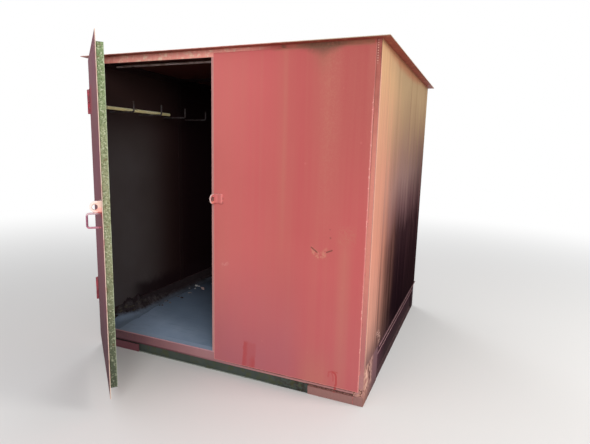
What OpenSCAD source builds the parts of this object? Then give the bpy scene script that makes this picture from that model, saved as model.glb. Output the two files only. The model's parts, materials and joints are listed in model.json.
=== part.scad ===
// Portable site cabin: a welded steel box on folded base rails, with a fixed front panel,
// a hinged steel door beside it and a flat overhanging roof.
// Millimetres, +Z up, -Y is the front. The origin is on the ground at the middle of the body.

/* [Body] */
// Outside width over the side walls
body_w = 2060; // [1900:10:2400]
// Outside depth from the front frame to the rear wall
body_d = 2000; // [1800:10:2400]
// Height of the wall tops above the ground
wall_top = 2108; // [2100:1:2300]
// Thickness of the wall and panel sheets
sheet_t = 3; // [2:0.5:4]
// Leg of the corner post angles
post_leg = 60; // [50:5:80]
// Thickness of the corner post angles
post_t = 5; // [4:1:8]
// Leg of the angles round the top of the walls
top_leg = 45; // [40:5:60]

/* [Roof] */
// Thickness of the roof sheet
roof_t = 4; // [3:1:6]
// Overhang of the roof at the front
roof_front = 56; // [30:1:80]
// Overhang of the roof at the rear
roof_rear = 43; // [20:1:80]
// Overhang of the roof on the left
roof_left = 21; // [18:1:80]
// Overhang of the roof on the right
roof_right = 51; // [18:1:80]
// Leg of the roof purlins
purlin_leg = 25; // [20:5:40]
// Distance of the rear purlin from the rear wall's outer face
purlin_inset = 245; // [150:5:400]
// Radius of the tie bar under the front of the roof
tie_r = 7.5; // [6:0.5:8]
// Distance of the tie bar from the front
tie_inset = 250; // [150:5:400]

/* [Base and floor] */
// Height of the side and rear base rails
rail_h = 180; // [160:5:220]
// Thickness of the folded base rails
rail_t = 5; // [4:1:6]
// Depth of the base rails' outward flanges
rail_flange = 25; // [20:1:40]
// Height of the ledge that the wall sheets stand on
ledge_z = 245; // [230:5:280]
// How far the ledge stands out past the wall sheets
ledge_out = 10; // [6:1:14]
// Top of the floor plate
floor_top = 141; // [130:1:160]
// Thickness of the floor plate
floor_t = 4; // [3:1:6]
// Length of the foot plates beside each front corner
foot_len = 357; // [250:1:500]
// Height of the foot plates on the front
foot_h = 57; // [50:1:80]

/* [Front] */
// Height of the front sill's face
sill_face = 73; // [60:1:90]
// Underside of the front lintel
lintel_z = 2065; // [2000:1:2090]
// Left edge of the fixed panel's sheet
panel_edge_x = -13; // [-200:1:200]
// Right margin of the fixed panel, where the corner post shows
panel_margin = 30; // [15:1:50]
// Bottom of the front sheets
sheet_z0 = 88; // [70:1:120]
// Top of the front sheets
sheet_z1 = 2088; // [2000:1:2095]
// Width of the mullion's landing that the door closes on
landing = 16; // [10:1:20]
// Leg of the mullion angle
mullion_leg = 40; // [30:5:50]

/* [Door] */
// How far the door stands open, in degrees from closed
door_open = 41.2; // [0:0.1:264]
// Width of the door sheet
door_w = 1000; // [900:1:1050]
// Thickness of the door sheet
door_t = 4; // [3:0.5:4]
// Gap between the door sheet and the fixed panel
edge_gap = 6; // [6:1:12]
// Gap between the closed door sheet and the front frame
stand_off = 5; // [5:1:10]
// Leg of the angles behind the door sheet
door_leg = 38; // [30:1:45]
// Underside of the door's angle frame
door_frame_z0 = 147; // [147:1:180]
// Top of the door's angle frame
door_frame_z1 = 2032; // [1900:1:2050]
// Height of the door's middle rail
door_mid_z = 1040; // [700:10:1050]

/* [Hinges] */
// Radius of the turned hinge knuckles
knuckle_r = 12; // [10:1:14]
// Height of one hinge knuckle
knuckle_h = 80; // [60:1:100]
// Radius of the hinge pins
pin_r = 7; // [5:0.5:8]
// Distance from the hinge line to the door sheet
hinge_gap = 17; // [17:1:25]
// Foot of the lower hinge
lower_hinge_z = 362; // [300:1:500]
// Foot of the upper hinge
upper_hinge_z = 1726; // [1500:1:1800]

/* [Lock and handle] */
// Underside of the padlock eyes
eye_z = 1160; // [900:1:1300]
// Height of the padlock eyes
eye_h = 64; // [50:2:80]
// How far the padlock eyes stand out
eye_out = 60; // [50:1:70]
// Radius of the padlock holes
eye_hole_r = 14; // [6:0.5:14]
// Thickness of the padlock eye plates
eye_t = 6; // [5:1:8]
// Radius of the handle's bent rod
handle_r = 6; // [4:0.5:8]
// Height of the handle's lower arm above the ground
handle_z = 1056; // [900:1:1300]
// Height of the handle between its two arms
handle_h = 80; // [60:1:120]
// Reach of the handle from the door sheet to the middle of its grip
handle_out = 72; // [60:1:100]
// Distance of the handle from the door's free edge
handle_inset = 157; // [60:1:300]

/* [Hooks] */
// Height of the hook arms on the left wall
hook_z = 1755; // [1500:5:1900]
// Length of a hook arm
hook_len = 225; // [150:5:260]
// Height of a hook's upturned tip
hook_tip = 75; // [50:5:100]
// Spacing of the hooks along the wall
hook_pitch = 305; // [250:5:350]
// Number of hooks
hook_count = 4; // [2:1:5]
// Length of the rail that lies on the hooks
hang_len = 680; // [500:10:900]

/* [Hidden] */
$fn = 48;
LEFT = -1;
RIGHT = 1;
FRONT = -1;
REAR = 1;

half_w = body_w / 2;
front_y = -body_d / 2;
rear_y = body_d / 2;
// Outer face of the framing that the side and rear sheets cover
frame_x = half_w - sheet_t;
frame_rear_y = rear_y - sheet_t;
frame_front_in = front_y + post_t;
// Inner face of the base rails' webs
web_x = frame_x - rail_flange;
web_rear_y = frame_rear_y - rail_flange;
floor_under = floor_top - floor_t;
// Bend radius of the folded rails, and arc steps on a bend
bend_r = 5;
arc_steps = 4;

// The ledge angle: its upright leg stands back from the wall sheet
ledge_set_back = 15;
ledge_t = 5;
ledge_leg = ledge_z - rail_h;

// The front rail lies behind the sill's face
front_web_y = front_y + rail_flange;
front_rail_h = floor_top - post_t;
sill_leg = 50;
sill_z0 = floor_top - sill_face;

// The mullion and the lines that the door closes on
mullion_t = 4;
mullion_x = panel_edge_x - landing;
post_tip_x = -frame_x + post_leg;
door_clear = 6;
mullion_clear = 7;

// The hinge line is in front of the left corner; the door is drawn closed about it and then turned
free_edge_x = panel_edge_x - edge_gap;
hinge_x = free_edge_x - door_w - hinge_gap;
hinge_y = front_y - knuckle_r;
leaf_in = knuckle_r - stand_off;
leaf_out = leaf_in - door_t;
door_frame_x0 = post_tip_x - hinge_x + door_clear;
door_frame_x1 = mullion_x - hinge_x - mullion_clear;
door_angle_t = 4;
door_edge = door_w + hinge_gap;

// Hinge fit
pin_play = 0.05;
pin_up = 58;
ring_h = 4;
ring_play = 0.5;
cap_h = 3;
wing_t = 5;
wing_len = 55;

// Lock eyes and handle
eye_flange = 60;
eye_flange_t = 5;
eye_round_r = eye_h / 2;
eye_hole_out = 35;
eye_inset = 8;
handle_bend = 12;

// Hooks and the rail on them
hook_r = 6;
hook_bend = 14;
hook_first_y = front_y + 170;
hang_r = 12;
hang_in = 128;
hang_front_gap = 12;

seam_gap = 2;
strap_w = 50;
strap_t = 4;
joist_leg = 50;
joist_y = body_d / 4;
bearer_w = 50;
bearer_t = 6;
purlin_t = 4;
// Drop of the tie bar's middle below the wall tops
tie_drop = 18;

salmon = [0.80, 0.42, 0.38];
brick = [0.62, 0.28, 0.24];
maroon = [0.40, 0.20, 0.18];
sand = [0.80, 0.58, 0.44];
pale_green = [0.58, 0.68, 0.46];
dull_green = [0.34, 0.40, 0.35];
dust_grey = [0.42, 0.46, 0.50];
yellow = [0.80, 0.66, 0.25];

// Points along a circular arc
function arc(cx, cy, r, a0, a1) =
    [for (i = [0:arc_steps]) let (a = a0 + (a1 - a0) * i / arc_steps) [cx + r * cos(a), cy + r * sin(a)]];

// Rolled angle section with its heel at the origin, a root fillet and rounded toes
module angle_2d(a, b, t) {
    toe = t / 2;
    polygon(concat(
        [[0, 0], [a, 0]],
        arc(a - toe, t - toe, toe, 0, 90),
        arc(2 * t, 2 * t, t, 270, 180),
        arc(t - toe, b - toe, toe, 0, 90),
        [[0, b]]));
}

// Folded channel section: web on the left, the lower and the upper flange pointing right
module channel_2d(lower, upper, h, t) {
    outer = bend_r + t;
    polygon(concat(
        arc(outer, outer, outer, 270, 180),
        arc(outer, h - outer, outer, 180, 90),
        [[upper, h], [upper, h - t]],
        arc(outer, h - outer, bend_r, 90, 180),
        arc(outer, outer, bend_r, 180, 270),
        [[lower, t], [lower, 0]]));
}

// Mirrors a section so that it points the way its two signs say
module flip(su, sv) {
    mirror([su < 0 ? 1 : 0, 0, 0])
        mirror([0, sv < 0 ? 1 : 0, 0])
            children();
}

// Bars with a given section: along X the section lies in Y and Z, along Y in X and Z, along Z in X and Y
module bar_x(x0, x1, y, z, sy, sz) {
    translate([x0, 0, 0])
        rotate([90, 0, 90])
            linear_extrude(x1 - x0)
                translate([y, z])
                    flip(sy, sz)
                        children();
}

module bar_y(y0, y1, x, z, sx, sz) {
    translate([0, y1, 0])
        rotate([90, 0, 0])
            linear_extrude(y1 - y0)
                translate([x, z])
                    flip(sx, sz)
                        children();
}

module bar_z(z0, z1, x, y, sx, sy) {
    translate([x, y, z0])
        linear_extrude(z1 - z0)
            flip(sx, sy)
                children();
}

// A plain box from one corner to the opposite one
module block(a, b) {
    translate(a)
        cube(b - a);
}

// Side rails: folded channels whose flanges point outwards under the wall ledge
module base_rail_side(side) {
    color(brick)
        bar_y(front_y + post_leg, frame_rear_y - post_leg, side * web_x, 0, side, 1)
            channel_2d(rail_flange, rail_flange, rail_h, rail_t);
}

module base_rail_rear() {
    color(brick)
        bar_x(post_leg - frame_x, frame_x - post_leg, web_rear_y, 0, 1, 1)
            channel_2d(rail_flange, rail_flange, rail_h, rail_t);
}

// The front rail sits back in the shadow under the sill; its upper flange stops at the sill's fillet
module base_rail_front() {
    color(dull_green)
        bar_x(post_leg - frame_x, frame_x - post_leg, front_web_y, 0, -1, 1)
            channel_2d(rail_flange - post_t, rail_flange - 2 * post_t, front_rail_h, rail_t);
}

// Channel bearer from side to side under the middle of the floor
module mid_bearer() {
    color(dull_green)
        difference() {
            block([-web_x, -bearer_w / 2, 0], [web_x, bearer_w / 2, floor_under]);
            block([-web_x - 1, -bearer_w / 2 - 1, bearer_t],
                  [web_x + 1, bearer_w / 2 - bearer_t, floor_under - bearer_t]);
        }
}

// Lighter angle joists halfway to the front and to the rear
module floor_joists() {
    color(dull_green)
        for (y = [-joist_y, joist_y])
            bar_x(-web_x, web_x, y, floor_under, 1, -1)
                angle_2d(joist_leg, joist_leg, post_t);
}

// Plates that close the front rail beside each corner post
module foot_plates_front() {
    color(salmon)
        for (side = [LEFT, RIGHT])
            mirror([side < 0 ? 1 : 0, 0, 0])
                block([half_w - foot_len, front_y, 0], [frame_x - post_leg, frame_front_in, foot_h]);
}

// Plates that carry the side walls' surface down to the ground at the front corners
module foot_plates_side() {
    color(salmon)
        for (side = [LEFT, RIGHT])
            mirror([side < 0 ? 1 : 0, 0, 0])
                block([frame_x, front_y, 0], [half_w, front_y + foot_len, ledge_z]);
}

module floor_plate() {
    color(dust_grey)
        block([-web_x, front_y + sill_leg, floor_under], [web_x, web_rear_y, floor_top]);
}

module front_sill() {
    color(salmon)
        bar_x(post_leg - frame_x, frame_x - post_leg, front_y, floor_top, 1, -1)
            angle_2d(sill_leg, sill_face, post_t);
}

module front_lintel() {
    color(salmon)
        bar_x(post_leg - frame_x, frame_x - post_leg, front_y, wall_top, 1, -1)
            angle_2d(top_leg, wall_top - lintel_z, post_t);
}

module corner_post(side, end) {
    color(end == FRONT ? salmon : maroon)
        bar_z(0, wall_top, side * frame_x, end == FRONT ? front_y : frame_rear_y, -side, -end)
            angle_2d(post_leg, post_leg, post_t);
}

module top_rail_side(side) {
    color(maroon)
        bar_y(front_y + post_leg, frame_rear_y - post_leg, side * frame_x, wall_top, -side, -1)
            angle_2d(top_leg, top_leg, post_t);
}

module top_rail_rear() {
    color(maroon)
        bar_x(post_leg - frame_x, frame_x - post_leg, frame_rear_y, wall_top, -1, -1)
            angle_2d(top_leg, top_leg, post_t);
}

// Ledge angle on a side: the wall sheet stands on its upper leg, which shows as a dusty line outside.
// A small plate closes its front end against the foot plate
module wall_ledge_side(side) {
    start_y = front_y + foot_len;
    back_x = frame_x - ledge_set_back;
    color(brick)
        mirror([side < 0 ? 1 : 0, 0, 0])
            difference() {
                union() {
                    bar_y(start_y, rear_y + ledge_out, back_x, ledge_z, 1, -1)
                        angle_2d(ledge_set_back + sheet_t + ledge_out, ledge_leg, ledge_t);
                    block([back_x, start_y, rail_h], [half_w, start_y + ledge_t, ledge_z]);
                }
                block([0, frame_rear_y - post_leg, 0], [half_w, rear_y, wall_top]);
                mitre_behind();
            }
}

module wall_ledge_rear() {
    color(brick)
        difference() {
            bar_x(-half_w - ledge_out, half_w + ledge_out, frame_rear_y - ledge_set_back, ledge_z, 1, -1)
                angle_2d(ledge_set_back + sheet_t + ledge_out, ledge_leg, ledge_t);
            for (side = [LEFT, RIGHT])
                mirror([side < 0 ? 1 : 0, 0, 0]) {
                    block([frame_x - post_leg, 0, 0], [half_w + ledge_out, rear_y, wall_top]);
                    mitre_beside();
                }
        }
}

// The two ledges meet on the diagonal outside the rear corner
module mitre_behind() {
    linear_extrude(wall_top)
        polygon([[half_w, rear_y], [half_w + 2 * ledge_out, rear_y + 2 * ledge_out],
                 [0, rear_y + 2 * ledge_out], [0, rear_y]]);
}

module mitre_beside() {
    linear_extrude(wall_top)
        polygon([[half_w, rear_y], [half_w + 2 * ledge_out, rear_y + 2 * ledge_out],
                 [half_w + 2 * ledge_out, rear_y]]);
}

// Each wall is two upright sheets with an open weld seam between them
module side_wall(side, tint) {
    color(tint)
        mirror([side < 0 ? 1 : 0, 0, 0]) {
            block([frame_x, front_y, ledge_z], [half_w, -seam_gap / 2, wall_top]);
            block([frame_x, seam_gap / 2, ledge_z], [half_w, frame_rear_y, wall_top]);
        }
}

module rear_wall() {
    color(maroon)
        for (side = [LEFT, RIGHT])
            mirror([side < 0 ? 1 : 0, 0, 0])
                block([seam_gap / 2, frame_rear_y, ledge_z], [half_w, rear_y, wall_top]);
}

// Flat straps behind the seams, between the ledges and the top rails
module seam_straps() {
    z1 = wall_top - top_leg;
    color(maroon) {
        for (side = [LEFT, RIGHT])
            mirror([side < 0 ? 1 : 0, 0, 0])
                block([frame_x - strap_t, -strap_w / 2, ledge_z], [frame_x, strap_w / 2, z1]);
        block([-strap_w / 2, frame_rear_y - strap_t, ledge_z], [strap_w / 2, frame_rear_y, z1]);
    }
}

module fixed_panel() {
    color(salmon)
        block([panel_edge_x, front_y - sheet_t, sheet_z0], [half_w - panel_margin, front_y, sheet_z1]);
}

// Upright behind the meeting edges; the door sheet closes over its landing
module mullion() {
    color(salmon)
        bar_z(floor_top, lintel_z, mullion_x, front_y, 1, 1)
            angle_2d(mullion_leg, mullion_leg, mullion_t);
}

// Outline of a padlock eye, standing out along +X from the sheet
module eye_2d() {
    straight = eye_out - eye_round_r;
    difference() {
        intersection() {
            union() {
                square([straight, eye_h]);
                translate([straight, eye_round_r])
                    circle(eye_round_r);
            }
            square([eye_out, eye_h]);
        }
        translate([eye_hole_out, eye_round_r])
            circle(eye_hole_r);
    }
}

// Eye plate and the flange it is bent from. It stands out along -Y, and the flange runs to +X
module lock_eye() {
    rotate([90, 0, -90])
        translate([0, 0, -eye_t])
            linear_extrude(eye_t)
                eye_2d();
    translate([eye_t, -eye_flange_t, 0])
        cube([eye_flange - eye_t, eye_flange_t, eye_h]);
}

module panel_lock_eye() {
    color(salmon)
        translate([panel_edge_x + eye_inset, front_y - sheet_t, eye_z])
            lock_eye();
}

module roof_sheet() {
    color(brick)
        block([-half_w - roof_left, front_y - roof_front, wall_top],
              [half_w + roof_right, rear_y + roof_rear, wall_top + roof_t]);
}

module roof_purlins() {
    inner_x = frame_x - top_leg;
    color(maroon)
        for (y = [0, rear_y - purlin_inset])
            bar_x(-inner_x, inner_x, y, wall_top, 1, -1)
                angle_2d(purlin_leg, purlin_leg, purlin_t);
}

// Round bar that ties the two side walls together behind the doorway
module tie_bar() {
    end_x = frame_x - post_t;
    color(brick)
        translate([-end_x, front_y + tie_inset, wall_top - tie_drop])
            rotate([0, 90, 0])
                cylinder(r = tie_r, h = 2 * end_x);
}

// Post half of a hinge: knuckle, thrust ring and pin, with a wing welded along the side wall
module hinge_post_half(z) {
    color(brick) {
        translate([hinge_x, hinge_y, z]) {
            cylinder(r = knuckle_r, h = knuckle_h);
            cylinder(r = knuckle_r - 1, h = knuckle_h + ring_h);
            cylinder(r = pin_r, h = knuckle_h + ring_h + pin_up);
        }
        block([-half_w - wing_t, hinge_y, z], [-half_w, hinge_y + wing_len, z + knuckle_h]);
    }
}

// Everything on the door is drawn closed about the hinge line, and turned open here
module on_door() {
    translate([hinge_x, hinge_y, 0])
        rotate([0, 0, -door_open])
            children();
}

// Door half of a hinge: a capped knuckle bored for the pin, with a wing over the sheet's outer face
module hinge_door_half(z) {
    z0 = z + knuckle_h + ring_h + ring_play;
    color(brick)
        on_door()
            difference() {
                union() {
                    translate([0, 0, z0])
                        cylinder(r = knuckle_r, h = knuckle_h);
                    translate([0, 0, z0 + knuckle_h])
                        cylinder(r1 = knuckle_r, r2 = knuckle_r - cap_h, h = cap_h);
                    block([0, leaf_out - wing_t, z0], [hinge_gap + wing_len, leaf_out, z0 + knuckle_h]);
                }
                translate([0, 0, z0 - 1])
                    cylinder(r = pin_r + pin_play, h = pin_up + 5);
            }
}

module door_sheet() {
    color(salmon)
        on_door()
            block([hinge_gap, leaf_out, sheet_z0], [door_edge, leaf_in, sheet_z1]);
}

// Keeps the part of a frame bar that lies between its two mitres
module mitred(points) {
    intersection() {
        children();
        translate([0, leaf_in + door_leg + 1, 0])
            rotate([90, 0, 0])
                linear_extrude(door_leg + 2)
                    polygon(points);
    }
}

module door_stile(x, inner_x, way) {
    color(pale_green)
        on_door()
            mitred([[x, door_frame_z0], [inner_x, door_frame_z0 + door_leg],
                    [inner_x, door_frame_z1 - door_leg], [x, door_frame_z1]])
                bar_z(door_frame_z0, door_frame_z1, x, leaf_in, way, 1)
                    angle_2d(door_leg, door_leg, door_angle_t);
}

module door_rail(z, inner_z, way) {
    color(pale_green)
        on_door()
            mitred([[door_frame_x0, z], [door_frame_x1, z], [door_frame_x1 - door_leg, inner_z],
                    [door_frame_x0 + door_leg, inner_z]])
                bar_x(door_frame_x0, door_frame_x1, leaf_in, z, 1, way)
                    angle_2d(door_leg, door_leg, door_angle_t);
}

module door_rail_middle() {
    color(pale_green)
        on_door()
            bar_x(door_frame_x0 + door_leg, door_frame_x1 - door_leg, leaf_in, door_mid_z, 1, 1)
                angle_2d(door_leg, door_leg, door_angle_t);
}

module door_lock_eye() {
    color(salmon)
        on_door()
            translate([door_edge - eye_inset, leaf_out, eye_z])
                mirror([1, 0, 0])
                    lock_eye();
}

// One round bend of a rod in the plane of X and Z, from +X up to +Z
module rod_bend(r, bend) {
    translate([0, 0, bend])
        rotate([90, 0, 0])
            rotate_extrude(angle = -90)
                translate([bend, 0])
                    circle(r);
}

// Bent rod: two arms straight out from the sheet and an upright grip between them
module door_handle() {
    arm = handle_out - handle_bend;
    color(salmon)
        on_door()
            translate([door_edge - handle_inset, leaf_out, handle_z])
                rotate([0, 0, -90]) {
                    for (top = [0, 1])
                        translate([0, 0, top * handle_h])
                            mirror([0, 0, top]) {
                                rotate([0, 90, 0])
                                    cylinder(r = handle_r, h = arm);
                                translate([arm, 0, 0])
                                    rod_bend(handle_r, handle_bend);
                            }
                    translate([handle_out, 0, handle_bend])
                        cylinder(r = handle_r, h = handle_h - 2 * handle_bend);
                }
}

// Bent rods welded to the left wall, each with an upturned tip
module wall_hooks() {
    color(maroon)
        for (i = [0:hook_count - 1])
            translate([-frame_x, hook_first_y + i * hook_pitch, hook_z]) {
                rotate([0, 90, 0])
                    cylinder(r = hook_r, h = hook_len - hook_bend);
                translate([hook_len - hook_bend, 0, 0])
                    rod_bend(hook_r, hook_bend);
                translate([hook_len, 0, hook_bend])
                    cylinder(r = hook_r, h = hook_tip - hook_bend);
            }
}

module hanging_rail() {
    color(yellow)
        translate([hang_in - frame_x, front_y + hang_front_gap + hang_len, hook_z + hook_r + hang_r])
            rotate([90, 0, 0])
                cylinder(r = hang_r, h = hang_len);
}

base_rail_side(LEFT);  // base_rail_left
base_rail_side(RIGHT);  // base_rail_right
base_rail_rear();
base_rail_front();
mid_bearer();
floor_joists();
foot_plates_front();
foot_plates_side();
floor_plate();
front_sill();
front_lintel();
corner_post(LEFT, FRONT);  // post_front_left
corner_post(RIGHT, FRONT);  // post_front_right
corner_post(LEFT, REAR);  // post_rear_left
corner_post(RIGHT, REAR);  // post_rear_right
top_rail_side(LEFT);  // top_rail_left
top_rail_side(RIGHT);  // top_rail_right
top_rail_rear();
wall_ledge_side(LEFT);  // wall_ledge_left
wall_ledge_side(RIGHT);  // wall_ledge_right
wall_ledge_rear();
side_wall(LEFT, maroon);  // left_wall
side_wall(RIGHT, sand);  // right_wall
rear_wall();
seam_straps();
fixed_panel();
mullion();
panel_lock_eye();
roof_sheet();
roof_purlins();
tie_bar();
hinge_post_half(upper_hinge_z);  // upper_hinge_post_half
hinge_post_half(lower_hinge_z);  // lower_hinge_post_half
wall_hooks();
hanging_rail();
door_sheet();
door_stile(door_frame_x0, door_frame_x0 + door_leg, 1);  // door_stile_hinge
door_stile(door_frame_x1, door_frame_x1 - door_leg, -1);  // door_stile_free
door_rail(door_frame_z1, door_frame_z1 - door_leg, -1);  // door_rail_top
door_rail_middle();
door_rail(door_frame_z0, door_frame_z0 + door_leg, 1);  // door_rail_bottom
door_lock_eye();
door_handle();
hinge_door_half(upper_hinge_z);  // upper_hinge_door_half
hinge_door_half(lower_hinge_z);  // lower_hinge_door_half
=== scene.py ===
"""Looks of the portable site cabin: weathered paint, rust, dust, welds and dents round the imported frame."""

import json
import math

import bpy
import numpy as np
from bpy.props import FloatProperty, FloatVectorProperty, IntProperty, PointerProperty
from mathutils import Matrix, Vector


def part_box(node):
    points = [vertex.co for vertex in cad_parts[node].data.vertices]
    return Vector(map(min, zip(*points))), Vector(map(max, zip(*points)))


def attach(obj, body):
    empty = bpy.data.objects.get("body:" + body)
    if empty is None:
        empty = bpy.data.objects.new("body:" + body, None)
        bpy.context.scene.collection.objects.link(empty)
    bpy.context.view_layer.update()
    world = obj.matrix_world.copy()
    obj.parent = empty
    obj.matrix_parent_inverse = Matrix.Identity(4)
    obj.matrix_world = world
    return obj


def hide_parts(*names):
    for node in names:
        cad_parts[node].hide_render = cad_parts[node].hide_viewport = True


bl_info = {
    "name": "Site cabin looks",
    "version": (1, 0, 0),
    "blender": (4, 5, 0),
    "location": "3D View > Sidebar > Cabin",
    "description": "Weathered paint, welds, dents and dirt for a portable steel site cabin",
    "category": "Object",
}

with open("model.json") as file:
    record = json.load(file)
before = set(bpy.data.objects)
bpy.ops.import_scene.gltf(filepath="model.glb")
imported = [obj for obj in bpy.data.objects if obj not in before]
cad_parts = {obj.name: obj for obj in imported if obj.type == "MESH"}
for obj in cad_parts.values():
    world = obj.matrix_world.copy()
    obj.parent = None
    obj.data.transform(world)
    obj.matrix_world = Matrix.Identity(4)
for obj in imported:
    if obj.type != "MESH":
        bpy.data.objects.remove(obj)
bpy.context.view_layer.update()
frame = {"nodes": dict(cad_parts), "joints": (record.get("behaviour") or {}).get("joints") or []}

# Axes of the frame, in metres: X to the right, Y to the rear, Z up
X, Y, Z = range(3)


def lowest(node, axis):
    """Where a CAD node begins along an axis."""
    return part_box(node)[0][axis]


def highest(node, axis):
    """Where a CAD node ends along an axis."""
    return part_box(node)[1][axis]


def halfway(node, axis):
    """The middle of a CAD node along an axis."""
    return (lowest(node, axis) + highest(node, axis)) / 2


# Places worked out from the frame
HALF_W = highest("right_wall", X)  # outer faces of the side walls
FRONT_Y = lowest("front_sill", Y)  # face of the front frame
REAR_Y = highest("rear_wall", Y)  # outer face of the rear wall
PANEL_Y = lowest("fixed_panel", Y)  # face of the fixed panel
SHEET = FRONT_Y - PANEL_Y  # thickness of the wall sheets, the panel and the foot plates
ROOF_TOP = highest("roof_sheet", Z)
DIRT_FOOT = highest("floor_plate", Z) + 0.0002  # where dirt and scraps lie, just above the floor
EYE_Z = halfway("panel_lock_eye", Z)
TIE_Z = halfway("tie_bar", Z)
RAIL_Z = halfway("hanging_rail", Z)
PLATE_TOP = highest("foot_plates_front", Z)
PLATE_LENGTH = highest("foot_plates_side", Y) - lowest("foot_plates_side", Y)
PLATE_HEIGHT = highest("foot_plates_side", Z)
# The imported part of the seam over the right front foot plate
SEAM_X = (0.675, 0.966)
# The leaf's hinge line, and how far the leaf stands open in the frame: its joint can close it by that much
HINGE = frame["joints"][0]["pos_m"][:2]
LEAF_OPEN = math.radians(-frame["joints"][0]["range_deg"][0])
# The photograph's camera: where it stands, how it is turned left, tipped down and rolled, and its lens
CAMERA_PLACE = (1.5808, -3.4637, 1.5291)
YAW, PITCH, ROLL = 0.39355, 0.16385, 0.026665
SENSOR_MM = 36.0
FOCAL_PX, IMAGE_PX = 449.5, 590
# White of the sky and the far floor, and the rays that see it
WHITE = (255, 255, 255)
RAYS = ("Camera", "Glossy", "Transmission")


def screen(red, green, blue):
    """A colour as a screen shows it, 0 to 255 a channel, turned into linear light."""
    c = np.array([red, green, blue]) / 255.0
    return tuple(float(v) for v in np.where(c <= 0.04045, c / 12.92, ((c + 0.055) / 1.055) ** 2.4))


# Settings


def tone(name, description, red, green, blue):
    """A colour, given as a screen shows it."""
    return FloatVectorProperty(
        name=name, description=description, subtype="COLOR", size=3, default=screen(red, green, blue)
    )


def length(name, description, metres):
    """A length, in metres."""
    return FloatProperty(
        name=name, description=description, subtype="DISTANCE", unit="LENGTH", default=metres
    )


def power(name, description, watts):
    """A lamp's power, in watts."""
    return FloatProperty(name=name, description=description, subtype="POWER", unit="POWER", default=watts)


class CabinPaint(bpy.types.PropertyGroup):
    """Colours of the paints, the rust and the dirt, some darkened as painted shade."""

    front: tone("Front red", "Faded red of the front", 210, 110, 109)
    front_deep: tone("Deep red", "Less faded red between the dust runs", 188, 88, 89)
    touch_up: tone("Touch-up red", "Fresher red of the touched-up places and drips", 176, 62, 62)
    dust: tone("Dust", "Pale olive dust in the runs", 186, 126, 106)
    mauve: tone("Mauve dust", "Dust on the panel's foot", 170, 98, 108)
    grime: tone("Grime", "Grey-brown stain under the roof", 70, 66, 54)
    sand: tone("Bleached wall", "Sun-bleached and dusty side wall", 203, 161, 124)
    rust: tone("Rust", "Dark rust", 92, 52, 36)
    # Painted shade: the base rails' red is darkened as if they stood in shade
    base: tone("Base red", "Dark red of the base rails", 62, 42, 48)
    under: tone("Under grey", "Grey-green of the recessed rail", 84, 92, 86)
    # Painted shade: the door's red is dulled to mauve as if its face stood in shade
    leaf: tone("Door", "Dull mauve red of the door's outer face", 118, 68, 76)
    leaf_frame: tone("Door frame", "Old pale green of the door's frame", 136, 140, 108)
    fitting: tone("Fittings", "Brushed-on mauve red of hinges and handle", 150, 66, 78)
    # Painted shade: the inside's maroon is darkened as if in the cabin's shade
    inner: tone("Inside", "Maroon brown of the inner walls", 64, 46, 44)
    inner_dust: tone("Dust inside", "Taupe dust on the walls near the doorway", 102, 94, 94)
    floor: tone("Floor", "Blue-grey dusty floor", 168, 188, 216)
    rail: tone("Hanging rail", "Worn yellow", 255, 236, 168)


class CabinSizes(bpy.types.PropertyGroup):
    """Sizes of the welds, dents and dirt."""

    bead: length("Weld bead", "Half width of a weld bead", 0.0035)
    ripple: length("Weld ripple", "Pitch of a weld's ripples", 0.005)
    dent: length("Dent depth", "Deepest dent of the foot plates", 0.009)
    heap: length("Dirt height", "Height of the dirt against the left wall", 0.140)
    seed: IntProperty(name="Seed", description="Start of the random numbers", default=7)


class CabinStage(bpy.types.PropertyGroup):
    """Light and floor."""

    key: power("Key lamp", "Power of the large lamp", 190.0)
    side: power("Side lamp", "Power of the lamp on the right", 130.0)
    back: power("Back lamp", "Power of the lamp behind", 110.0)
    sky: FloatProperty(name="Sky", description="Level of the soft light from all round", default=0.60)
    pale: FloatVectorProperty(
        name="Floor", description="Colour of the stage floor", subtype="COLOR", size=3, default=(0.8,) * 3
    )


# Shader maths


class Wire:
    """One output socket of a node tree. Python's operators on it add Math nodes."""

    def __init__(self, tree, socket):
        self.tree = tree
        self.socket = socket

    def math(self, operation, *values, clamp=False):
        settings = {"operation": operation, "use_clamp": clamp}
        return self.tree.node("ShaderNodeMath", settings, dict(enumerate(values)))

    def __add__(self, other):
        return self.math("ADD", self, other)

    def __sub__(self, other):
        return self.math("SUBTRACT", self, other)

    def __rsub__(self, other):
        return self.math("SUBTRACT", other, self)

    def __mul__(self, other):
        return self.math("MULTIPLY", self, other)

    def __truediv__(self, other):
        return self.math("DIVIDE", self, other)

    def __pow__(self, other):
        return self.math("POWER", self, other)

    def __abs__(self):
        return self.math("ABSOLUTE", self)

    __radd__ = __add__
    __rmul__ = __mul__

    def above(self, edge, soft=0.001):
        """0 below edge - soft, 1 above edge + soft, and a smooth step between."""
        ends = {"Value": self, "From Min": edge - soft, "From Max": edge + soft}
        return self.tree.node("ShaderNodeMapRange", {"interpolation_type": "SMOOTHSTEP"}, ends)

    def below(self, edge, soft=0.001):
        return 1.0 - self.above(edge, soft)

    def between(self, low, high, soft=0.001):
        return self.above(low, soft) * self.below(high, soft)

    def near(self, middle, reach, soft=0.001):
        """1 within reach of middle, on both sides."""
        return abs(self - middle).below(reach, soft)

    def clamp(self):
        return self.math("ADD", self, 0.0, clamp=True)

    def most(self, other):
        return self.math("MAXIMUM", self, other)


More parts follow.
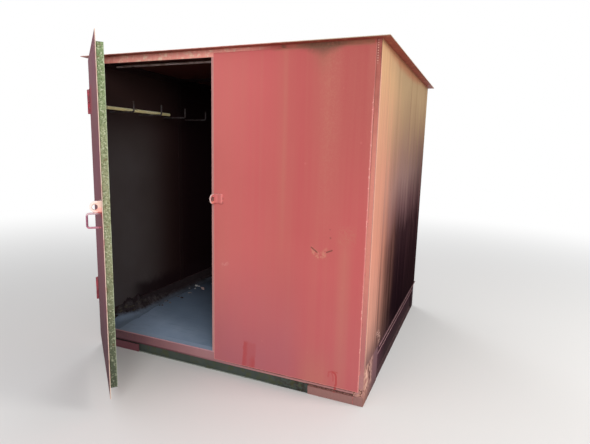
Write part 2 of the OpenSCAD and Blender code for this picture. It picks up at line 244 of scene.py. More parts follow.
class Tree:
    """A node tree, emptied, and the one call that adds any node to it."""

    def __init__(self, owner):
        owner.use_nodes = True
        self.nodes = owner.node_tree.nodes
        self.links = owner.node_tree.links
        self.nodes.clear()

    def node(self, kind, settings, inputs, out=0, stops=()):
        """Adds a node: its settings first, then a ramp's stops, then the values or links of its sockets."""
        made = self.nodes.new(kind)
        for key, value in settings.items():
            setattr(made, key, value)
        if stops:
            elements = made.color_ramp.elements
            while len(elements) < len(stops):
                elements.new(0.5)
            for element, (position, colour) in zip(elements, stops):
                element.position = position
                element.color = (*linear(colour), 1.0)
        for key, value in inputs.items():
            socket = made.inputs[key]
            if isinstance(value, Wire):
                self.links.new(value.socket, socket)
            elif socket.type == "RGBA":
                socket.default_value = (*linear(value), 1.0)
            else:
                socket.default_value = value
        return Wire(self, made.outputs[out]) if made.outputs else None


def linear(colour):
    """A colour for a socket: a tuple is as a screen shows it, and a setting's colour is linear already."""
    return screen(*colour) if isinstance(colour, tuple) else colour


class Paint(Tree):
    """A material that is built up in coats, and the place on the piece, in metres, that it is laid by."""

    def __init__(self, name, leaf=False):
        self.material = bpy.data.materials.new(name)
        super().__init__(self.material)
        self.colour = None
        self.place = self.node("ShaderNodeTexCoord", {}, {}, out="Object")
        if leaf:
            # Turns the open leaf back to closed, about its hinge line
            ends = {0: self.place, 1: (*HINGE, 0.0)}
            moved = self.node("ShaderNodeVectorMath", {"operation": "SUBTRACT"}, ends)
            turn = {"Vector": moved, "Angle": LEAF_OPEN}
            self.place = self.node("ShaderNodeVectorRotate", {"rotation_type": "Z_AXIS"}, turn)
        self.x, self.y, self.z = (self.part(self.place, axis) for axis in range(3))

    def part(self, vector, axis):
        return self.node("ShaderNodeSeparateXYZ", {}, {0: vector}, out=axis)

    def vector(self, x, y, z):
        return self.node("ShaderNodeCombineXYZ", {}, {0: x, 1: y, 2: z})

    def facing_up(self):
        """1 on a face that looks up, 0 on an upright one."""
        return self.part(self.node("ShaderNodeNewGeometry", {}, {}, out="Normal"), 2)

    def noise(self, size, detail=3.0, rough=0.55, seed=0.0, warp=0.0):
        """Soft noise from 0 to 1, with lumps about size metres across."""
        inputs = {"Vector": self.place, "W": seed, "Scale": 1.0 / size, "Detail": detail, "Roughness": rough}
        return self.node("ShaderNodeTexNoise", {"noise_dimensions": "4D"}, {**inputs, "Distortion": warp})

    def stretched(self, x, y, z, **inputs):
        """Soft noise that is longer one way than another: each axis is given in lumps."""
        return self.node("ShaderNodeTexNoise", {}, {"Vector": self.vector(x, y, z), "Scale": 1.0, **inputs})

    def specks(self, size, edge, seed, soft=0.08):
        """Round specks about size metres across; a lower edge leaves fewer of them."""
        shift = self.vector(seed, seed * 1.7, seed * 2.3)
        moved = self.node("ShaderNodeVectorMath", {"operation": "ADD"}, {0: self.place, 1: shift})
        cells = self.node(
            "ShaderNodeTexVoronoi", {"voronoi_dimensions": "3D"}, {"Vector": moved, "Scale": 1.0 / size}
        )
        return cells.below(edge, soft)

    def runs(self, across, width, length, seed, low=0.45, high=0.65):
        """Upright streaks, as rain leaves them: noise that is narrow across and long in height."""
        lumps = self.stretched(across / width, seed, self.z / length, Detail=4.0, Roughness=0.6)
        return lumps.above((low + high) / 2, (high - low) / 2)

    def stroke(self, across, points, width, soft):
        """1 along a line through points, given across and up, width metres to each side; soft is its edge."""
        mask = None
        for (ax, az), (bx, bz) in zip(points, points[1:]):
            ux, uz = bx - ax, bz - az
            dx, dz = across - ax, self.z - az
            along = dx * ux + dz * uz
            t = along.math("DIVIDE", along, ux * ux + uz * uz, clamp=True)
            ex, ez = dx - t * ux, dz - t * uz
            near = ((ex * ex + ez * ez) ** 0.5).below(width, soft)
            mask = near if mask is None else mask.most(near)
        return mask

    def box(self, across, low, high, foot, top, soft):
        """1 inside a box on the sheet, with a soft edge."""
        return across.between(low, high, soft) * self.z.between(foot, top, soft)

    def mix(self, below, above, amount):
        """Colour above laid over colour below, by amount."""
        inputs = {"Factor": amount, 6: below, 7: above}
        return self.node("ShaderNodeMix", {"data_type": "RGBA", "clamp_factor": True}, inputs, out=2)

    def ramp(self, value, *stops):
        """Colours that follow a value; each stop is a value and its colour."""
        return self.node("ShaderNodeValToRGB", {}, {"Fac": value}, stops=stops)

    def lay(self, colour, amount):
        """Lays a coat over what is there, by amount."""
        self.colour = self.mix(self.colour, colour, amount)

    def wear(self, rust, amount, seed):
        """Lays rust on: blooms broken up into flecks. Returns where it is."""
        bloom = self.noise(0.09, 6, 0.65, seed=seed).above(0.70 - 0.12 * amount, 0.035)
        fleck = self.noise(0.012, 4, 0.7, seed=seed + 3).above(0.62, 0.05)
        mask = (bloom * fleck).clamp()
        self.lay(rust, mask * 0.85)
        return mask

    def grain(self, seed=0.0):
        """Height of brushed old paint: fine lumps on slow waves."""
        return self.noise(0.004, 2, 0.5, seed=seed) * 0.35 + self.noise(0.05, 3, 0.5, seed=seed + 1) * 0.65

    def finish(self, roughness, height, depth, metallic=0.0, specular=0.2):
        """Ends the material: paint or metal with a bump from height, which is depth metres deep."""
        bump = self.node("ShaderNodeBump", {}, {"Strength": 1.0, "Distance": depth, "Height": height})
        sockets = {"Base Color": self.colour, "Roughness": roughness, "Metallic": metallic, "Normal": bump}
        shader = self.node("ShaderNodeBsdfPrincipled", {}, {**sockets, "Specular IOR Level": specular})
        self.node("ShaderNodeOutputMaterial", {}, {"Surface": shader})
        return self.material


# Surfaces worked out with numpy


def grid_faces(rows, columns, loop=False):
    """Quads between the points of a rows by columns grid; with loop, the last column joins the first."""
    row = np.arange(rows - 1)[:, None] * columns
    c = np.arange(columns if loop else columns - 1)[None, :]
    n = (c + 1) % columns
    return np.stack([row + c, row + n, row + columns + n, row + columns + c], -1).reshape(-1, 4)


def spread(rows, columns, start=(0.0, 0.0), end=(1.0, 1.0)):
    """The two parameters of a rows by columns grid, each from start to end."""
    along, across = (np.linspace(start[k], end[k], count) for k, count in enumerate((rows, columns)))
    return along[:, None] * np.ones((1, columns)), np.ones((rows, 1)) * across[None, :]


def ramp(values):
    """Values cut off at 0 and 1."""
    return np.clip(values, 0, 1)


def hill(values, middle, reach):
    """A bell curve that is 1 at its middle and 1 / e at reach to either side."""
    return np.exp(-(((values - middle) / reach) ** 2))


def closed_sheet(outer, back):
    """Points and quads of a sheet between two grids of points, outer and back, joined round their rims."""
    rows, columns = outer.shape[:2]
    count = rows * columns
    ring = np.concatenate([
        np.arange(columns),
        np.arange(1, rows) * columns + columns - 1,
        (rows - 1) * columns + np.arange(columns - 2, -1, -1),
        np.arange(rows - 2, 0, -1) * columns,
    ])
    after = np.roll(ring, -1)
    wall = np.stack([ring, after, after + count, ring + count], -1)
    quads = grid_faces(rows, columns)
    quads = np.vstack([quads, quads[:, ::-1] + count, wall[:, ::-1]])
    return np.vstack([outer.reshape(-1, 3), back.reshape(-1, 3)]), quads


def closed_tube(rings, low, high, turned=False):
    """Points and triangles of a tube: rows by sides points, and two points that close its ends."""
    rows, sides = rings.shape[:2]
    count = rows * sides
    quads = grid_faces(rows, sides, loop=True)
    ring = np.arange(sides)
    after = (ring + 1) % sides
    caps = np.vstack([
        np.stack([np.full(sides, count), after, ring], -1),
        np.stack([np.full(sides, count + 1), ring + count - sides, after + count - sides], -1),
    ])
    if turned:
        quads, caps = quads[:, ::-1], caps[:, ::-1]
    triangles = np.vstack([quads[:, [0, 1, 2]], quads[:, [0, 2, 3]], caps])
    return np.vstack([rings.reshape(-1, 3), low, high]), triangles


def joined(parts):
    """Many shapes, each its points and faces, as one array of points and one of faces."""
    points, faces = zip(*parts)
    starts = np.cumsum([0] + [len(p) for p in points[:-1]])
    return np.vstack(points), np.vstack([f + start for f, start in zip(faces, starts)])


def make_piece(name, points, faces, material, body, smooth=True):
    """Puts a mesh into the scene at the origin, and lets it ride on its body."""
    mesh = bpy.data.meshes.new(name)
    mesh.vertices.add(len(points))
    mesh.vertices.foreach_set("co", np.ascontiguousarray(points, np.float32).ravel())
    mesh.loops.add(faces.size)
    mesh.loops.foreach_set("vertex_index", np.ascontiguousarray(faces, np.int32).ravel())
    mesh.polygons.add(len(faces))
    mesh.polygons.foreach_set("loop_start", np.arange(0, faces.size, faces.shape[1], dtype=np.int32))
    mesh.update(calc_edges=True)
    mesh.polygons.foreach_set("use_smooth", np.full(len(faces), smooth))
    mesh.validate()
    mesh.materials.append(material)
    piece = bpy.data.objects.new(name, mesh)
    bpy.context.scene.collection.objects.link(piece)
    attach(piece, body)
    return piece


def value_noise(x, y, size, seed):
    """Smooth noise from -1 to 1 on arrays: random values on a square lattice, blended with a smooth step."""
    table = np.random.default_rng(seed).uniform(-1, 1, (64, 64))
    gx, gy = x / size + 31.7, y / size + 17.3
    ix, iy = np.floor(gx).astype(int), np.floor(gy).astype(int)
    fx, fy = gx - ix, gy - iy
    fx, fy = fx * fx * (3 - 2 * fx), fy * fy * (3 - 2 * fy)
    low, high = (
        table[ix % 64, (iy + k) % 64] * (1 - fx) + table[(ix + 1) % 64, (iy + k) % 64] * fx for k in (0, 1)
    )
    return low * (1 - fy) + high * fy


def bead(start, end, side, up, size, ripple):
    """A weld bead from start to end, in a corner between the directions side and up.

    The profile is a quarter-round bulge with its back in the corner. It is carried along the line. Its size
    is size * (1 + 0.16 |sin| + 0.08 sin), the first with the ripples and the second slower, and it tapers
    at both ends.
    """
    start, end, side, up = (np.array(v, float) for v in (start, end, side, up))
    run = np.linalg.norm(end - start)
    t = np.linspace(0.0, 1.0, max(8, int(run / ripple * 3)))
    swell = 1.0 + 0.16 * np.abs(np.sin(np.pi * t * run / ripple)) + 0.08 * np.sin(t * run * 90)
    swell *= np.clip(np.minimum(t, 1 - t) * run / size, 0.15, 1.0) ** 0.5
    turn = np.radians([-12, 10, 32, 58, 80, 102, 180, 270])
    reach = np.array([1.0] * 6 + [0.35] * 2)
    profile = (np.cos(turn) * reach)[:, None] * side + (np.sin(turn) * reach)[:, None] * up
    rings = start + t[:, None, None] * (end - start) + swell[:, None, None] * size * profile
    return closed_tube(rings, start, end, np.dot(np.cross(side, up), end - start) < 0)


def end_bar(x, y, foot, top, across, deep):
    """A short upright flat bar at x and y, with a section across by deep, given as half sizes along X and Y.

    The section is a rounded oblong, |x / across| ** 6 + |y / deep| ** 6 = 1. It is carried upwards and its
    width wanders by a small sine, as a hand-cut edge does.
    """
    rows, sides = 16, 16
    turn = np.linspace(0.0, 2 * np.pi, sides, endpoint=False)
    stretch = (np.abs(np.cos(turn)) ** 6 + np.abs(np.sin(turn)) ** 6) ** (-1 / 6)
    t = np.linspace(0.0, 1.0, rows)[:, None]
    wander = 1.0 + 0.02 * np.sin(t * 23.0)
    rings = np.stack([
        x + across * wander * np.cos(turn) * stretch,
        y + deep * wander * np.sin(turn) * stretch,
        (foot + (top - foot) * t) * np.ones(sides),
    ], -1)
    return closed_tube(rings, (x, y, foot), (x, y, top))


# Materials


def panel_dust(p, tones, corner, mottle):
    """Soft upright runs of dust on the panel, some of them at fixed places. Returns where they are."""
    fine = p.runs(p.x, 0.030, 2.2, 3.0, 0.35, 0.80)
    broad = p.runs(p.x, 0.150, 3.5, 8.0, 0.35, 0.75)
    across = p.x + (p.noise(0.6, 2, seed=5) - 0.5) * 0.025
    line = across.near(0.474, 0.012, 0.022) * p.z.above(0.95, 0.45)
    thin = across.near(0.322, 0.006, 0.010) * p.z.above(0.90, 0.60)
    band = across.near(0.750, 0.048, 0.055) * p.z.above(1.20, 0.60)
    foot = across.near(0.878, 0.030, 0.035) * p.z.below(1.00, 0.10)
    sandy = p.noise(0.009, 3, 0.6, seed=17).above(0.54, 0.12) * (band * 0.20 + corner * 0.05)
    dust = fine * 0.10 + broad * 0.16 + line * 0.26 + thin * 0.10 + band * 0.09 + sandy + foot * 0.30
    dust = dust.clamp()
    p.lay(tones.dust, dust)
    # Mauve dust thrown up at the foot, and a paler patch over it
    splash = 0.40 + 0.5 * p.noise(0.30, 3, seed=18) + p.x.below(0.35, 0.35) * 0.12
    splash = (p.z.below(0.50, 0.50) * splash).clamp()
    p.lay(tones.mauve, splash * (1.0 - p.x.above(0.60, 0.10) * 0.55))
    olive = p.x.between(0.62, 0.81, 0.05) * p.z.below(0.24, 0.16) * (0.4 + 0.6 * mottle)
    p.lay(tones.dust, olive * 0.45)
    return dust


def panel_stain(p, tones, mottle):
    """Stain under the roof, running down into a point, in a brown haze. Returns where it is."""
    centre = abs(p.x - 0.700)
    ragged = (mottle - 0.5) * 0.06
    tip = centre * 0.36 + ragged * 0.6 + 2.044
    speckled = 0.35 + p.noise(0.010, 4, 0.7, seed=19) * 0.75
    stain = (p.z - tip).above(0.0, 0.030) * centre.below(0.150, 0.06) * speckled
    haze = (p.z - (centre * 1.3 + ragged * 2.0 + 1.97)).above(0.0, 0.10) * centre.below(0.12, 0.06)
    brow = p.z.above(2.080, 0.010) * p.x.between(0.40, 0.99, 0.03) * (0.45 + 0.5 * p.noise(0.05, 3, seed=9))
    p.lay((150, 100, 80), (haze * 0.35 + brow).clamp())
    p.lay(tones.grime, (stain * (0.50 + 0.45 * mottle)).clamp())
    return stain


def panel_touch_up(p, tones):
    """A touched-up place near the foot, and a drip that curls over and runs onto the sill. Returns both."""
    ragged = (p.noise(0.03, 3, seed=4) - 0.5) * 0.022
    lean = p.x + ragged - (p.z - 0.083) * 0.06
    patch = lean.between(0.204, 0.296, 0.006) * (p.z + ragged).between(0.070, 0.262, 0.012)
    dense = lean.below(0.232, 0.012).most(lean.above(0.262, 0.02) * p.z.below(0.16, 0.03))
    p.lay(tones.touch_up, patch * (0.26 + 0.34 * dense))
    across = p.x + ragged * 0.3
    hook = [(0.833, 0.184), (0.850, 0.176), (0.857, 0.160), (0.858, 0.112), (0.851, 0.084)]
    loop = [(0.806, 0.150), (0.808, 0.177), (0.830, 0.187), (0.863, 0.186)]
    tail = [(0.829, 0.178), (0.838, 0.152), (0.838, 0.126)]
    drips = p.stroke(across, hook, 0.0055, 0.004)
    drips = drips.most(p.stroke(across, loop, 0.0035, 0.006) * 0.7)
    drips = drips.most(p.stroke(across, tail, 0.0030, 0.005) * 0.7)
    p.lay(tones.touch_up, drips * 0.85)
    return patch, drips


def panel_scratches(p):
    """Two dark strokes with pale crumbs of filler between and under them, and crazed and flaked places.

    Returns the strokes and the filler.
    """
    scratches = p.stroke(p.x, [(0.669, 0.945), (0.706, 0.919)], 0.0035, 0.003).most(
        p.stroke(p.x, [(0.766, 0.925), (0.799, 0.940)], 0.0035, 0.003)
    )
    crumb = p.noise(0.014, 3, 0.6, seed=11)
    vee = p.z - abs(p.x - 0.722) * 0.9
    filler = p.z.above(0.880, 0.012) * vee.above(0.862, 0.012) * vee.below(0.912, 0.014)
    filler = filler * p.x.between(0.670, 0.768, 0.01) * crumb.above(0.53, 0.06)
    p.lay((204, 150, 124), filler * 0.48)
    specks = p.stroke(p.x, [(0.781, 1.063), (0.782, 1.062)], 0.003, 0.003).most(
        p.stroke(p.x, [(0.786, 1.014), (0.787, 1.012)], 0.0045, 0.004)
    )
    p.lay((104, 66, 52), (scratches + specks * 0.6).clamp() * 0.9)
    crazed = p.box(p.x, 0.830, 0.935, 0.985, 1.085, 0.025) * abs(crumb - 0.52).below(0.022, 0.018)
    p.lay((180, 124, 100), crazed * 0.50)
    flaked = p.stroke(p.x, [(0.058, 0.764), (0.086, 0.772)], 0.010, 0.010) * crumb.above(0.48, 0.06)
    p.lay((216, 150, 146), flaked * 0.5)
    return scratches, filler


def panel_wear(p, tones, mottle):
    """A few pale scuffs, pin rust, painted highlights on the worn edges, and weld dabs by the right edge."""
    scuff = p.specks(0.16, 0.045, 3.0, soft=0.02) * p.noise(0.02, seed=6)
    p.lay((214, 136, 128), scuff.clamp() * 0.3)
    pin = p.noise(0.006, 2, seed=14).above(0.745, 0.02)
    p.lay(tones.rust, pin * 0.5)
    # Painted highlight on the sheet's worn edges, where they catch the light
    right = p.x.above(0.9935, 0.0020) * p.z.below(1.78, 0.12) * (0.55 + 0.6 * p.noise(0.012, 3, seed=24))
    rim = right.most(p.x.below(-0.0100, 0.0015)).most(p.z.below(0.0915, 0.0015) * (0.3 + 0.5 * mottle))
    p.lay((224, 148, 140), (rim * 0.75).clamp())
    dots = p.noise(0.016, 2, seed=25).above(0.62, 0.04) * p.x.above(0.9920, 0.0020) * p.z.below(1.85, 0.10)
    p.lay((238, 184, 172), dots * 0.6)
    # Painted highlight on the faces of the sheet's cut edges
    edge = p.x.above(0.9990, 0.0006).most(p.x.below(-0.0124, 0.0005))
    p.lay((214, 150, 142), edge * 0.9)


def front_paint(tones):
    """The fixed panel: faded red, dust runs, a stain under the roof, touch-ups, drips and scratches."""
    p = Paint("front_paint")
    slow, mottle = p.noise(0.55, 2, 0.5, seed=2), p.noise(0.018, 4, 0.6, seed=16)
    # Paler towards the meeting edge, deeper to the middle
    paler = p.x.below(0.26, 0.34) * 0.85 + slow * 0.6 - 0.25
    p.colour = p.mix(tones.front_deep, tones.front, paler.clamp())
    corner = p.x.above(0.66, 0.36) * p.z.above(1.35, 0.60)
    p.lay((162, 78, 74), corner * (0.60 + 0.32 * slow))
    dust = panel_dust(p, tones, corner, mottle)
    stain = panel_stain(p, tones, mottle)
    patch, drips = panel_touch_up(p, tones)
    scratches, filler = panel_scratches(p)
    panel_wear(p, tones, mottle)
    # The inner side was never repainted; its dark maroon is partly painted shade
    inner = p.mix(tones.inner, tones.dust, p.noise(0.3, seed=3) * 0.25)
    p.colour = p.mix(inner, p.colour, p.y.below(PANEL_Y + SHEET / 2, 0.0005))
    rough = 0.48 + dust * 0.30 + stain * 0.25 + filler * 0.3 - patch * 0.10 - drips * 0.15
    height = p.noise(0.45, 2, seed=21) * 3.0 + p.grain() * 0.10 - scratches * 0.25 + drips * 0.20
    return p.finish(rough.clamp(), height, 0.0016)


def lintel_coat(p, tones, fine):
    """Lintel: orange and sand where dust has washed down from the roof, grey-brown to the right."""
    lintel = p.z.above(lowest("front_lintel", Z) - 0.0015, 0.0005) * p.x.below(0.99, 0.002)
    orange = p.mix((248, 168, 156), (252, 218, 196), p.noise(0.030, 5, 0.65, seed=4).above(0.56, 0.08))
    p.lay(orange, lintel * p.x.between(-0.84, 0.30, 0.12) * 0.85)
    p.lay((150, 106, 80), lintel * p.x.above(0.52, 0.08) * (0.35 + 0.6 * fine))
    p.lay(tones.grime, lintel * p.x.between(0.57, 0.84, 0.07) * (0.10 + 0.8 * fine))
    mark = lintel * p.stroke(p.x, [(0.455, 2.110), (0.470, 2.070)], 0.012, 0.012)
    p.lay((104, 84, 62), mark * 0.7)
    return lintel


def post_coat(p, patchy, fine, front):
    """Corner posts: dark red high up, sun-bleached in the middle, brown at the foot, painted highlight on the
    corner.
    """
    post = abs(p.x).above(0.9975, 0.0015) * front
    high = p.mix((134, 64, 60), (164, 88, 80), patchy.above(0.48, 0.15))
    bleached = p.mix((192, 114, 106), (208, 136, 118), fine)
    bleached = p.mix(bleached, (168, 98, 102), p.z.below(0.60, 0.32) * 0.8)
    tall = p.mix(bleached, high, p.z.above(1.68, 0.35))
    p.lay(tall, post)
    # Painted highlight along the post's corner edge
    corner_highlight = abs(p.x).above(1.0258, 0.0006) * front * p.z.between(0.05, 1.90, 0.05)
    p.lay((226, 168, 152), corner_highlight * 0.7)
    return post


def sill_coat(p, tones, patchy, fine, front, post):
    """Sill, posts' feet and foot plates: mauve in painted shade to the left, brown to the right, painted
    shade on the foot.
    """
    low = p.z.below(0.143, 0.004)
    # Painted shade: the sill is darker mauve to the left, as if in the open door's shade
    mauve = p.mix((100, 64, 74), (126, 84, 92), patchy)
    rose = p.mix((160, 112, 118), (172, 126, 128), patchy)
    brown = p.mix((156, 108, 108), (182, 133, 129), fine)
    sill = p.mix(p.mix(mauve, rose, p.x.above(-0.45, 0.40)), brown, p.x.above(0.30, 0.30))
    p.lay(sill, low.most(post * p.z.below(0.22, 0.10)))
    plate = p.z.below(PLATE_TOP + 0.0008, 0.0006)
    # Painted shade: the left foot plate is darker, as if in the door's shade
    p.lay((116, 66, 74), plate * p.x.below(-0.5, 0.1) * 0.8)
    p.lay(p.mix((134, 96, 92), (156, 114, 108), fine), plate * p.x.above(0.5, 0.1))
    # Painted shade along the sill's foot on the left
    shaded = (p.z + (fine - 0.5) * 0.006).below(0.0775, 0.0025)
    shaded = shaded * p.z.above(0.0600, 0.0010) * p.x.below(-0.10, 0.40)
    p.lay((74, 36, 44), shaded * front * 0.7)
    crumb = p.specks(0.014, 0.17, 5.0) * p.x.between(-0.86, -0.40, 0.05) * p.z.between(0.085, 0.130, 0.01)
    p.lay((170, 110, 70), crumb * front * 0.6)
    # The sill's upper edge has a pale painted highlight, and the floor's dust lies over its top
    lip = p.z.above(0.1335, 0.0025) * p.z.below(0.143, 0.002) * front * p.x.below(0.02, 0.01)
    p.lay((196, 150, 160), lip * (0.50 + 0.45 * patchy))
    top = p.z.between(0.1395, 0.1425, 0.0006) * p.y.above(-0.9985, 0.0015) * p.x.below(0.02, 0.01)
    swept = (p.x + patchy * 0.3).above(-0.80, 0.12)
    p.lay(tones.floor, top * (0.55 + 0.40 * swept))


def frame_seams(p, fine, front):
    """Rust in the open seams, and peeled paint at the right foot. Returns the height of its curls."""
    lips = p.z.between(0.0530, 0.0580, 0.0015).most(p.z.between(0.0670, 0.0715, 0.0015))
    seam = p.z.between(0.0805, 0.0895, 0.0015).most(lips * p.x.above(0.66, 0.005))
    seam = seam * front * p.x.below(0.985, 0.01) * (0.35 + 0.65 * fine.above(0.45, 0.1))
    seam = seam * p.x.above(0.10, 0.25)
    p.lay((92, 44, 42), seam * 0.85)
    peel = p.box(p.x, 0.966, 1.024, 0.062, 0.112, 0.010) * front
    curl = abs(p.noise(0.030, 2, 0.5, seed=19) - 0.50)
    p.lay((196, 150, 128), peel * curl.below(0.09, 0.03) * 0.7)
    p.lay((84, 46, 40), peel * curl.below(0.030, 0.012) * 0.95)
    return curl * peel


def panel_side_line(p, fine, front):
    """Shaded, rusty line beside the panel's right edge, with weld dabs near the top."""
    beside = p.x.between(1.0000, 1.0050, 0.0012) * front * p.z.above(1.20, 0.20) * (0.5 + 0.5 * fine)
    p.lay((112, 60, 52), beside * 0.50)
    waves = {"Vector": p.place, "Scale": 24.0, "Distortion": 2.0}
    dab = p.node("ShaderNodeTexWave", {"bands_direction": "Z"}, waves)
    dabs = dab.above(0.62, 0.12) * p.x.between(1.0060, 1.0115, 0.0012) * p.z.above(1.985, 0.015) * front
    p.lay((216, 172, 156), dabs * 0.8)


def frame_paint(tones):
    """Front frame: faded red, sandy where dust lies, brown at the feet, painted highlights on its corners."""
    p = Paint("frame_paint")
    patchy = p.noise(0.10, 4, 0.6, seed=1)
    fine = p.noise(0.02, 4, 0.6, seed=15)
    front = p.y.below(FRONT_Y + 0.0008, 0.0004)
    p.colour = p.mix((176, 86, 82), (200, 108, 98), patchy.above(0.5, 0.25))
    lintel = lintel_coat(p, tones, fine)
    post = post_coat(p, patchy, fine, front)
    sill_coat(p, tones, patchy, fine, front, post)
    # Drip that has run down from the panel
    drip = p.stroke(p.x, [(0.853, 0.090), (0.851, 0.068), (0.846, 0.058)], 0.0075, 0.005) * front
    p.lay(tones.touch_up, drip * 0.85)
    curls = frame_seams(p, fine, front)
    panel_side_line(p, fine, front)
    runs = p.runs(p.x + p.y, 0.012, 0.7, 2.0) * p.z.above(0.20, 0.03)
    p.lay(tones.dust, runs * 0.18)
    # The mullion's landing is rubbed grey by the door
    landing = p.x.between(-0.0295, -0.012, 0.0008) * p.z.between(0.142, 2.064, 0.004) * front
    rubbed = p.mix((168, 134, 134), (204, 150, 146), p.noise(0.05, 4, seed=7))
    p.lay(rubbed, landing * 0.85)
    rust = p.wear(tones.rust, 0.4, 30)
    # Inner faces take the inside's maroon, darkened as painted shade
    inside = p.y.above(-0.996, 0.001)
    p.lay(tones.inner, inside * p.z.above(0.146, 0.004) * 0.95)
    rough = (0.5 + runs * 0.2 + rust * 0.25 + lintel * 0.1 - drip * 0.2).clamp()
    return p.finish(rough, p.grain(3) + rust * 0.4 + curls, 0.0008)


def side_streaks(p, wander, height, behind):
    """Streaks of rust and dust from the roof's edge, some of them at fixed places."""
    dark = p.runs(p.y, 0.020, 2.2, 12.0, 0.50, 0.70) * p.runs(p.y, 0.30, 4.0, 13.0, 0.42, 0.60) * 0.4
    drop = p.noise(0.5, 2, seed=27) * 0.9
    for at, width in ((-0.778, 0.009), (-0.443, 0.016), (0.070, 0.024), (0.330, 0.030), (0.850, 0.040)):
        streak = (p.y + wander * 0.06).near(at, width, width * 1.5) * (p.z + drop - 0.3).above(1.40, 0.40)
        dark = dark.most(streak * 0.45)
    p.lay((110, 80, 62), dark.clamp() * 0.50 * height.above(0.66, 0.18))
    light = p.runs(p.y, 0.020, 2.4, 15.0, 0.54, 0.74)
    p.lay((226, 194, 156), light * 0.20 * height.above(0.60, 0.20))
    rosy = p.runs(p.y, 0.060, 2.6, 21.0, 0.50, 0.64) * p.z.between(0.9, 1.9, 0.35)
    p.lay((150, 108, 106), rosy * 0.24)
    maroon = p.runs(p.y, 0.045, 2.2, 31.0, 0.44, 0.68) * p.z.between(0.40, 1.30, 0.35) * behind
    p.lay((84, 56, 59), maroon * 0.24)


def side_edges(p, wander):
    """The front edge has a pale painted highlight, red has lasted under the roof, and the foot is dirty in
    front.
    """
    # Painted highlight along the wall's front edge
    edge = p.y.below(-0.9985, 0.0008).most(p.y.below(-0.978, 0.012) * 0.55)
    edge = edge * (0.6 + 0.6 * p.noise(0.05, 3, seed=28))
    p.lay((226, 166, 148), edge.clamp() * p.z.below(2.0, 0.08))
    shelter = (p.z + wander * 0.06 - abs(p.y + 0.10).most(0.22) * 0.07).above(2.035, 0.030)
    p.lay((158, 80, 58), (shelter * (0.4 + 0.6 * p.noise(0.05, 3, seed=8))).clamp() * 0.75)
    foot = p.z.below(0.33, 0.05) * (0.4 + 0.5 * p.noise(0.04, 4, seed=9)) * p.y.below(-0.30, 0.30)
    p.lay((84, 58, 60), foot.clamp() * 0.45)


def side_flakes(p):
    """Paint that curls off above the ledge."""
    flake = p.stroke(p.y, [(-0.705, 0.352), (-0.650, 0.335), (-0.600, 0.300), (-0.625, 0.272)], 0.020, 0.012)
    curl = abs(p.noise(0.035, 2, 0.5, seed=33) - 0.5)
    p.lay((206, 164, 152), flake * curl.between(0.02, 0.06, 0.012) * 0.85)
    p.lay((40, 22, 26), flake * curl.below(0.014, 0.008) * 0.9)


def side_inner(p, tones):
    """Inner side: taupe dust near the doorway, red-brown high up, painted shade behind and at the foot."""
    cloud = p.noise(0.35, 4, seed=3)
    near = (p.y.below(-0.38, 0.30) * (0.55 + 0.6 * cloud) * p.z.below(1.62, 0.30)).clamp()
    inner = p.mix(tones.inner, tones.inner_dust, near)
    # Painted shade: nearly black further in
    inner = p.mix(inner, (30, 16, 20), p.y.above(-0.10, 0.28) * 0.9)
    # Painted shade low on the wall, behind the doorway
    low_shade = (p.z + (p.noise(0.22, 3, 0.6, seed=17) - 0.5) * 0.20).below(0.36, 0.05) * p.y.above(-0.62, 0.10)
    return p.mix(inner, (40, 26, 30), low_shade * 0.85)


def side_paint(tones):
    """Side walls: bleached in front, painted shade behind, darker lower down, with streaks from the roof's
    edge.
    """
    p = Paint("side_wall_paint")
    wander = p.noise(0.35, 3, 0.6, seed=2) - 0.5
    runs = p.runs(p.y, 0.030, 2.4, 5.0, 0.40, 0.66)
    broad = p.runs(p.y, 0.085, 3.4, 9.0, 0.36, 0.66)
    # Painted shade: behind a line that lies further back the higher up, the tone follows height
    streaks = (runs - 0.5) * 0.05 + (broad - 0.5) * 0.14
    height = (p.z + wander * 0.16 + streaks * p.z.above(0.7, 0.4)) / 2.1
    line = p.z * 0.12 - 0.66 - p.z.above(1.98, 0.14) * 0.12
    behind = (p.y - line + wander * 0.18 + streaks).above(0.0, 0.47)
    shade = p.ramp(
        height,
        (0.10, (22, 12, 17)), (0.24, (26, 14, 19)), (0.33, (34, 19, 24)),
        (0.43, (47, 30, 34)), (0.52, (100, 73, 75)), (0.62, (134, 106, 102)),
        (0.71, (140, 111, 98)), (0.81, (154, 127, 101)), (0.91, (166, 140, 109)),
    )
    faded = p.ramp(
        (p.z + wander * 0.25) / 2.1,
        (0.09, (138, 104, 102)), (0.15, (180, 134, 122)), (0.24, (206, 148, 131)),
        (0.43, (209, 144, 124)), (0.65, (203, 143, 121)), (0.80, (203, 152, 123)),
        (0.93, tones.sand),
    )
    # The wall is bleached in front of the line and in painted shade behind it
    sun = (1.0 - behind) ** 1.6
    p.colour = p.mix(shade, faded, sun)
    # Painted shade, darker towards the rear corner
    p.lay((36, 22, 24), p.y.above(0.45, 0.50) * 0.60 * p.z.below(1.60, 0.40))
    side_streaks(p, wander, height, behind)
    side_edges(p, wander)
    side_flakes(p)
    rust = p.wear(tones.rust, 0.4, 40)
    p.colour = p.mix(side_inner(p, tones), p.colour, abs(p.x).above(HALF_W - SHEET / 2, 0.0004))
    rough = (0.70 + sun * 0.10 + rust * 0.1).clamp()
    relief = p.noise(0.5, 2, seed=23) * 3.4 + p.grain(5) * 0.12 + rust * 0.2
    return p.finish(rough, relief, 0.0018, specular=0.0)


